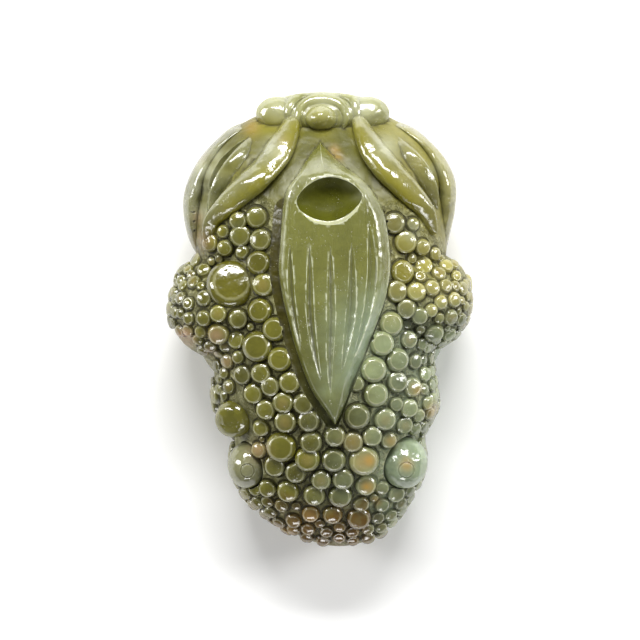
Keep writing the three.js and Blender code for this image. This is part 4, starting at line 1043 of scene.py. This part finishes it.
# Ridges rubbed pale by handling, and painted shade darkening the creases.
def wearAndShadeGroup():
    group, given, result = startGroup(
        "worn edges and crease shade", {"Color": stone["olive"], "Rubbed": 0.4, "Crease shade": 0.6, "Pit": 0.0},
        {"Color": "Color"})
    mm = places(group)
    patchy = rise(group, lumps(group, mm, 1.0, 3.0, 0.6), 0.30, 0.62)
    rubbed = maths(group, "MULTIPLY", maths(group, "MULTIPLY", marked(group, "worn")[1], patchy), given["Rubbed"])
    stoneLight = put(group, "ShaderNodeRGBToBW", given["Color"]).outputs[0]
    # painted shade in the creases, weaker where the stone is pale
    creaseShade = maths(group, "MULTIPLY", marked(group, "crease")[1], rise(group, stoneLight, 0.32, 0.12, 0.3, 1.0))
    creaseShade = maths(group, "MULTIPLY", creaseShade, given["Crease shade"])
    colour = tint(group, rubbed, given["Color"], (0.60, 0.62, 0.46, 1.0))
    colour = tint(group, creaseShade, colour, (0.028, 0.024, 0.004, 1.0))
    colour = tint(group, maths(group, "MULTIPLY", given["Pit"], 0.8), colour, (0.50, 0.48, 0.30, 1.0))
    group.links.new(colour, result["Color"])
    return group


cloudMask, wartMask, polishMask, wearAndShadeMask = cloudGroup(), wartGroup(), polishGroup(), wearAndShadeGroup()
print("shader groups built")


def jadeMaterial(name, finish):
    material = bpy.data.materials.new(name)
    material.use_nodes = True
    tree = material.node_tree
    shader = tree.nodes["Principled BSDF"]
    colour = useGroup(tree, cloudMask, finish["clouds"])["Color"]
    polish = useGroup(tree, polishMask, finish["polish"])
    height, roughness = polish["Height"], polish["Roughness"]
    if "warts" in finish:
        rings = useGroup(tree, wartMask, {"Color": colour, **finish["warts"]})
        colour = rings["Color"]
        height = maths(tree, "ADD", height, rings["Height"])
        roughness = maths(tree, "MULTIPLY_ADD", rings["Ridge"], finish["ridgeRoughness"], roughness)
    colour = useGroup(tree, wearAndShadeMask, {"Color": colour, "Pit": polish["Pit"], **finish["wearAndShade"]})["Color"]
    bump = put(tree, "ShaderNodeBump", 1.0, finish["bump"])
    feed(tree, bump.inputs["Height"], height)
    feed(tree, shader.inputs["Base Color"], colour)
    feed(tree, shader.inputs["Roughness"], roughness)
    feed(tree, shader.inputs["Normal"], bump.outputs[0])
    shader.inputs["Subsurface Weight"].default_value = finish["glow"]
    shader.inputs["Subsurface Radius"].default_value = (1.0, 0.95, 0.45)
    shader.inputs["Subsurface Scale"].default_value = 0.0012
    shader.inputs["IOR"].default_value = 1.66
    shader.inputs["Specular IOR Level"].default_value = finish.get("shine", 0.8)
    return material


# One finish for each kind of surface. Bump distances are in metres.
finishes = {
    "polished warts": {
        "zones": ("wart", "gland"), "glow": 0.25, "bump": 0.00010, "ridgeRoughness": 0.0,
        "clouds": {"Stone": stone["olive"], "Celadon": 0.6, "Pale": 0.8, "Mottle": 0.9},
        "warts": {"Tone spread": 0.6, "Ring": 0.55, "Crevice shade": 0.72, "Ground": 0.0},
        "polish": {"Roughness": 0.15, "Waves": 1.3, "Tool marks": 0.0, "Pits": 0.4},
        "wearAndShade": {"Rubbed": 0.2, "Crease shade": 0.4},
    },
    "ground between warts": {
        "zones": ("skin",), "glow": 0.25, "bump": 0.00010, "ridgeRoughness": 0.04,
        "clouds": {"Stone": (0.115, 0.110, 0.020, 1.0), "Golden": 0.6, "Brown": 0.7, "Pale": 0.9, "Mottle": 1.0},
        "warts": {"Tone spread": 0.0, "Ring": 0.0, "Crevice shade": 0.76, "Ground": 0.9},
        "polish": {"Roughness": 0.40, "Waves": 2.0, "Wave scale": 0.7, "Tool marks": 0.1, "Pits": 0.6},
        "wearAndShade": {"Rubbed": 0.2, "Crease shade": 0.7}, "shine": 0.2,
    },
    # a near-black base that paints shade into the gutter beside the leaf, the creases round the eyes and the mouth
    # groove
    "gutter and mouth in painted shade": {
        "zones": ("gutter",), "glow": 0.2, "bump": 0.00010,
        "clouds": {"Stone": (0.044, 0.038, 0.003, 1.0), "Celadon": 0.6, "Golden": 0.4, "Pale": 0.0, "Mottle": 1.0},
        "polish": {"Roughness": 0.34, "Waves": 2.0, "Tool marks": 0.4, "Pits": 0.8},
        "wearAndShade": {"Rubbed": 0.2, "Crease shade": 0.6}, "shine": 0.25,
    },
    "polished leaf": {
        "zones": ("leaf",), "glow": 0.3, "bump": 0.00008,
        "clouds": {"Stone": (0.138, 0.142, 0.030, 1.0), "Celadon": 1.4, "Golden": 0.0, "Brown": 0.0, "Pale": 0.0,
                   "Mottle": 0.6},
        "polish": {"Roughness": 0.20, "Waves": 1.4, "Tool marks": 0.4, "Pits": 0.5},
        "wearAndShade": {"Rubbed": 0.9, "Crease shade": 0.45},
    },
    # pale stone on the chamfer round the hollow: a painted highlight along its rim
    "hollow rim with painted highlight": {
        "zones": ("rim",), "glow": 0.3, "bump": 0.00008,
        "clouds": {"Stone": (0.420, 0.430, 0.260, 1.0), "Celadon": 0.0, "Golden": 0.0, "Pale": 0.0, "Mottle": 0.8},
        "polish": {"Roughness": 0.16, "Waves": 1.4, "Tool marks": 0.2, "Pits": 0.3},
        "wearAndShade": {"Rubbed": 0.9, "Crease shade": 0.2},
    },
    "scooped hollow": {
        "zones": ("hollow",), "glow": 0.3, "bump": 0.00010,
        "clouds": {"Stone": (0.068, 0.071, 0.006, 1.0), "Celadon": 0.0, "Golden": 0.0, "Pale": 0.0, "Mottle": 0.8},
        "polish": {"Roughness": 0.45, "Waves": 1.2, "Tool marks": 0.3, "Pits": 0.8},
        "wearAndShade": {"Rubbed": 0.9, "Crease shade": 0.2}, "shine": 0.05,
    },
    "leg strands": {
        "zones": ("limb",), "glow": 0.25, "bump": 0.00012,
        "clouds": {"Stone": (0.165, 0.165, 0.070, 1.0), "Golden": 0.5, "Pale": 0.9, "Brown": 0.0, "Mottle": 1.0},
        "polish": {"Roughness": 0.18, "Waves": 3.6, "Wave scale": 0.5, "Tool marks": 0.2, "Pits": 0.6},
        "wearAndShade": {"Rubbed": 0.4, "Crease shade": 0.6},
    },
    "rump lobes": {
        "zones": ("lobe",), "glow": 0.3, "bump": 0.00012,
        "clouds": {"Stone": (0.225, 0.230, 0.090, 1.0), "Celadon": 0.0, "Golden": 0.0, "Pale": 0.9, "Mottle": 1.0},
        "polish": {"Roughness": 0.18, "Waves": 3.2, "Wave scale": 0.55, "Tool marks": 0.0, "Pits": 0.6},
        "wearAndShade": {"Rubbed": 0.5, "Crease shade": 0.6},
    },
    "eye domes": {
        "zones": ("eye",), "glow": 0.35, "bump": 0.00010,
        "clouds": {"Stone": (0.170, 0.170, 0.085, 1.0), "Golden": 0.0, "Mottle": 0.9},
        "polish": {"Roughness": 0.14, "Waves": 1.8, "Tool marks": 0.0, "Pits": 0.4},
        "wearAndShade": {"Rubbed": 0.2, "Crease shade": 0.5},
    },
}

toad.data.materials.clear()
slotOf = np.zeros(len(zones), dtype=np.int32)
for number, (name, finish) in enumerate(finishes.items()):
    toad.data.materials.append(jadeMaterial(name, finish))
    for zone in finish["zones"]:
        slotOf[zones.index(zone)] = number
zoneOfFace = np.zeros(len(toad.data.polygons), dtype=np.int32)
toad.data.attributes["zone"].data.foreach_get("value", zoneOfFace)
toad.data.polygons.foreach_set("material_index", slotOf[zoneOfFace])
print("%d jade finishes set" % len(finishes))

# Floor, light and camera
studio = {
    "floor": (0.93, 0.93, 0.92, 1.0), "sky": 0.14,
    "lens": 300.0, "frameHeight": 0.0704, "middle": (-0.00022, 0.0, 0.009),
}


def addFloor():
    shape = bmesh.new()
    bmesh.ops.create_grid(shape, x_segments=1, y_segments=1, size=0.6)
    floor = makeObject("studio floor", shape)
    material = bpy.data.materials.new("floor paper")
    material.use_nodes = True
    shader = material.node_tree.nodes["Principled BSDF"]
    shader.inputs["Base Color"].default_value = studio["floor"]
    shader.inputs["Roughness"].default_value = 0.9
    floor.data.materials.append(material)
    return floor


def addSoftbox(name, place, size, power):
    light = bpy.data.lights.new(name, "AREA")
    light.shape = "RECTANGLE"
    light.size, light.size_y = size
    light.energy = power
    box = bpy.data.objects.new(name, light)
    box.location = place
    box.rotation_euler = Vector(place).to_track_quat("Z", "Y").to_euler()
    bpy.context.scene.collection.objects.link(box)
    return box


addFloor()
addSoftbox("top light", (0.0, 0.36, 0.36), (0.34, 0.12), 3.5)
addSoftbox("left light", (-0.40, 0.10, 0.20), (0.12, 0.24), 1.2)
addSoftbox("right light", (0.38, 0.10, 0.24), (0.12, 0.24), 1.2)
addSoftbox("front light", (0.0, -0.44, 0.20), (0.30, 0.10), 0.7)

world = bpy.data.worlds.new("studio")
world.use_nodes = True
world.node_tree.nodes["Background"].inputs["Color"].default_value = (1.0, 1.0, 1.0, 1.0)
world.node_tree.nodes["Background"].inputs["Strength"].default_value = studio["sky"]
bpy.context.scene.world = world
bpy.context.scene.view_settings.view_transform = "Standard"

camera = bpy.data.objects.new("camera", bpy.data.cameras.new("camera"))
camera.data.lens = studio["lens"]
x, y, z = studio["middle"]
camera.location = (x, y, z + studio["lens"] * studio["frameHeight"] / camera.data.sensor_width)
bpy.context.scene.collection.objects.link(camera)
bpy.context.scene.camera = camera
print("studio set")
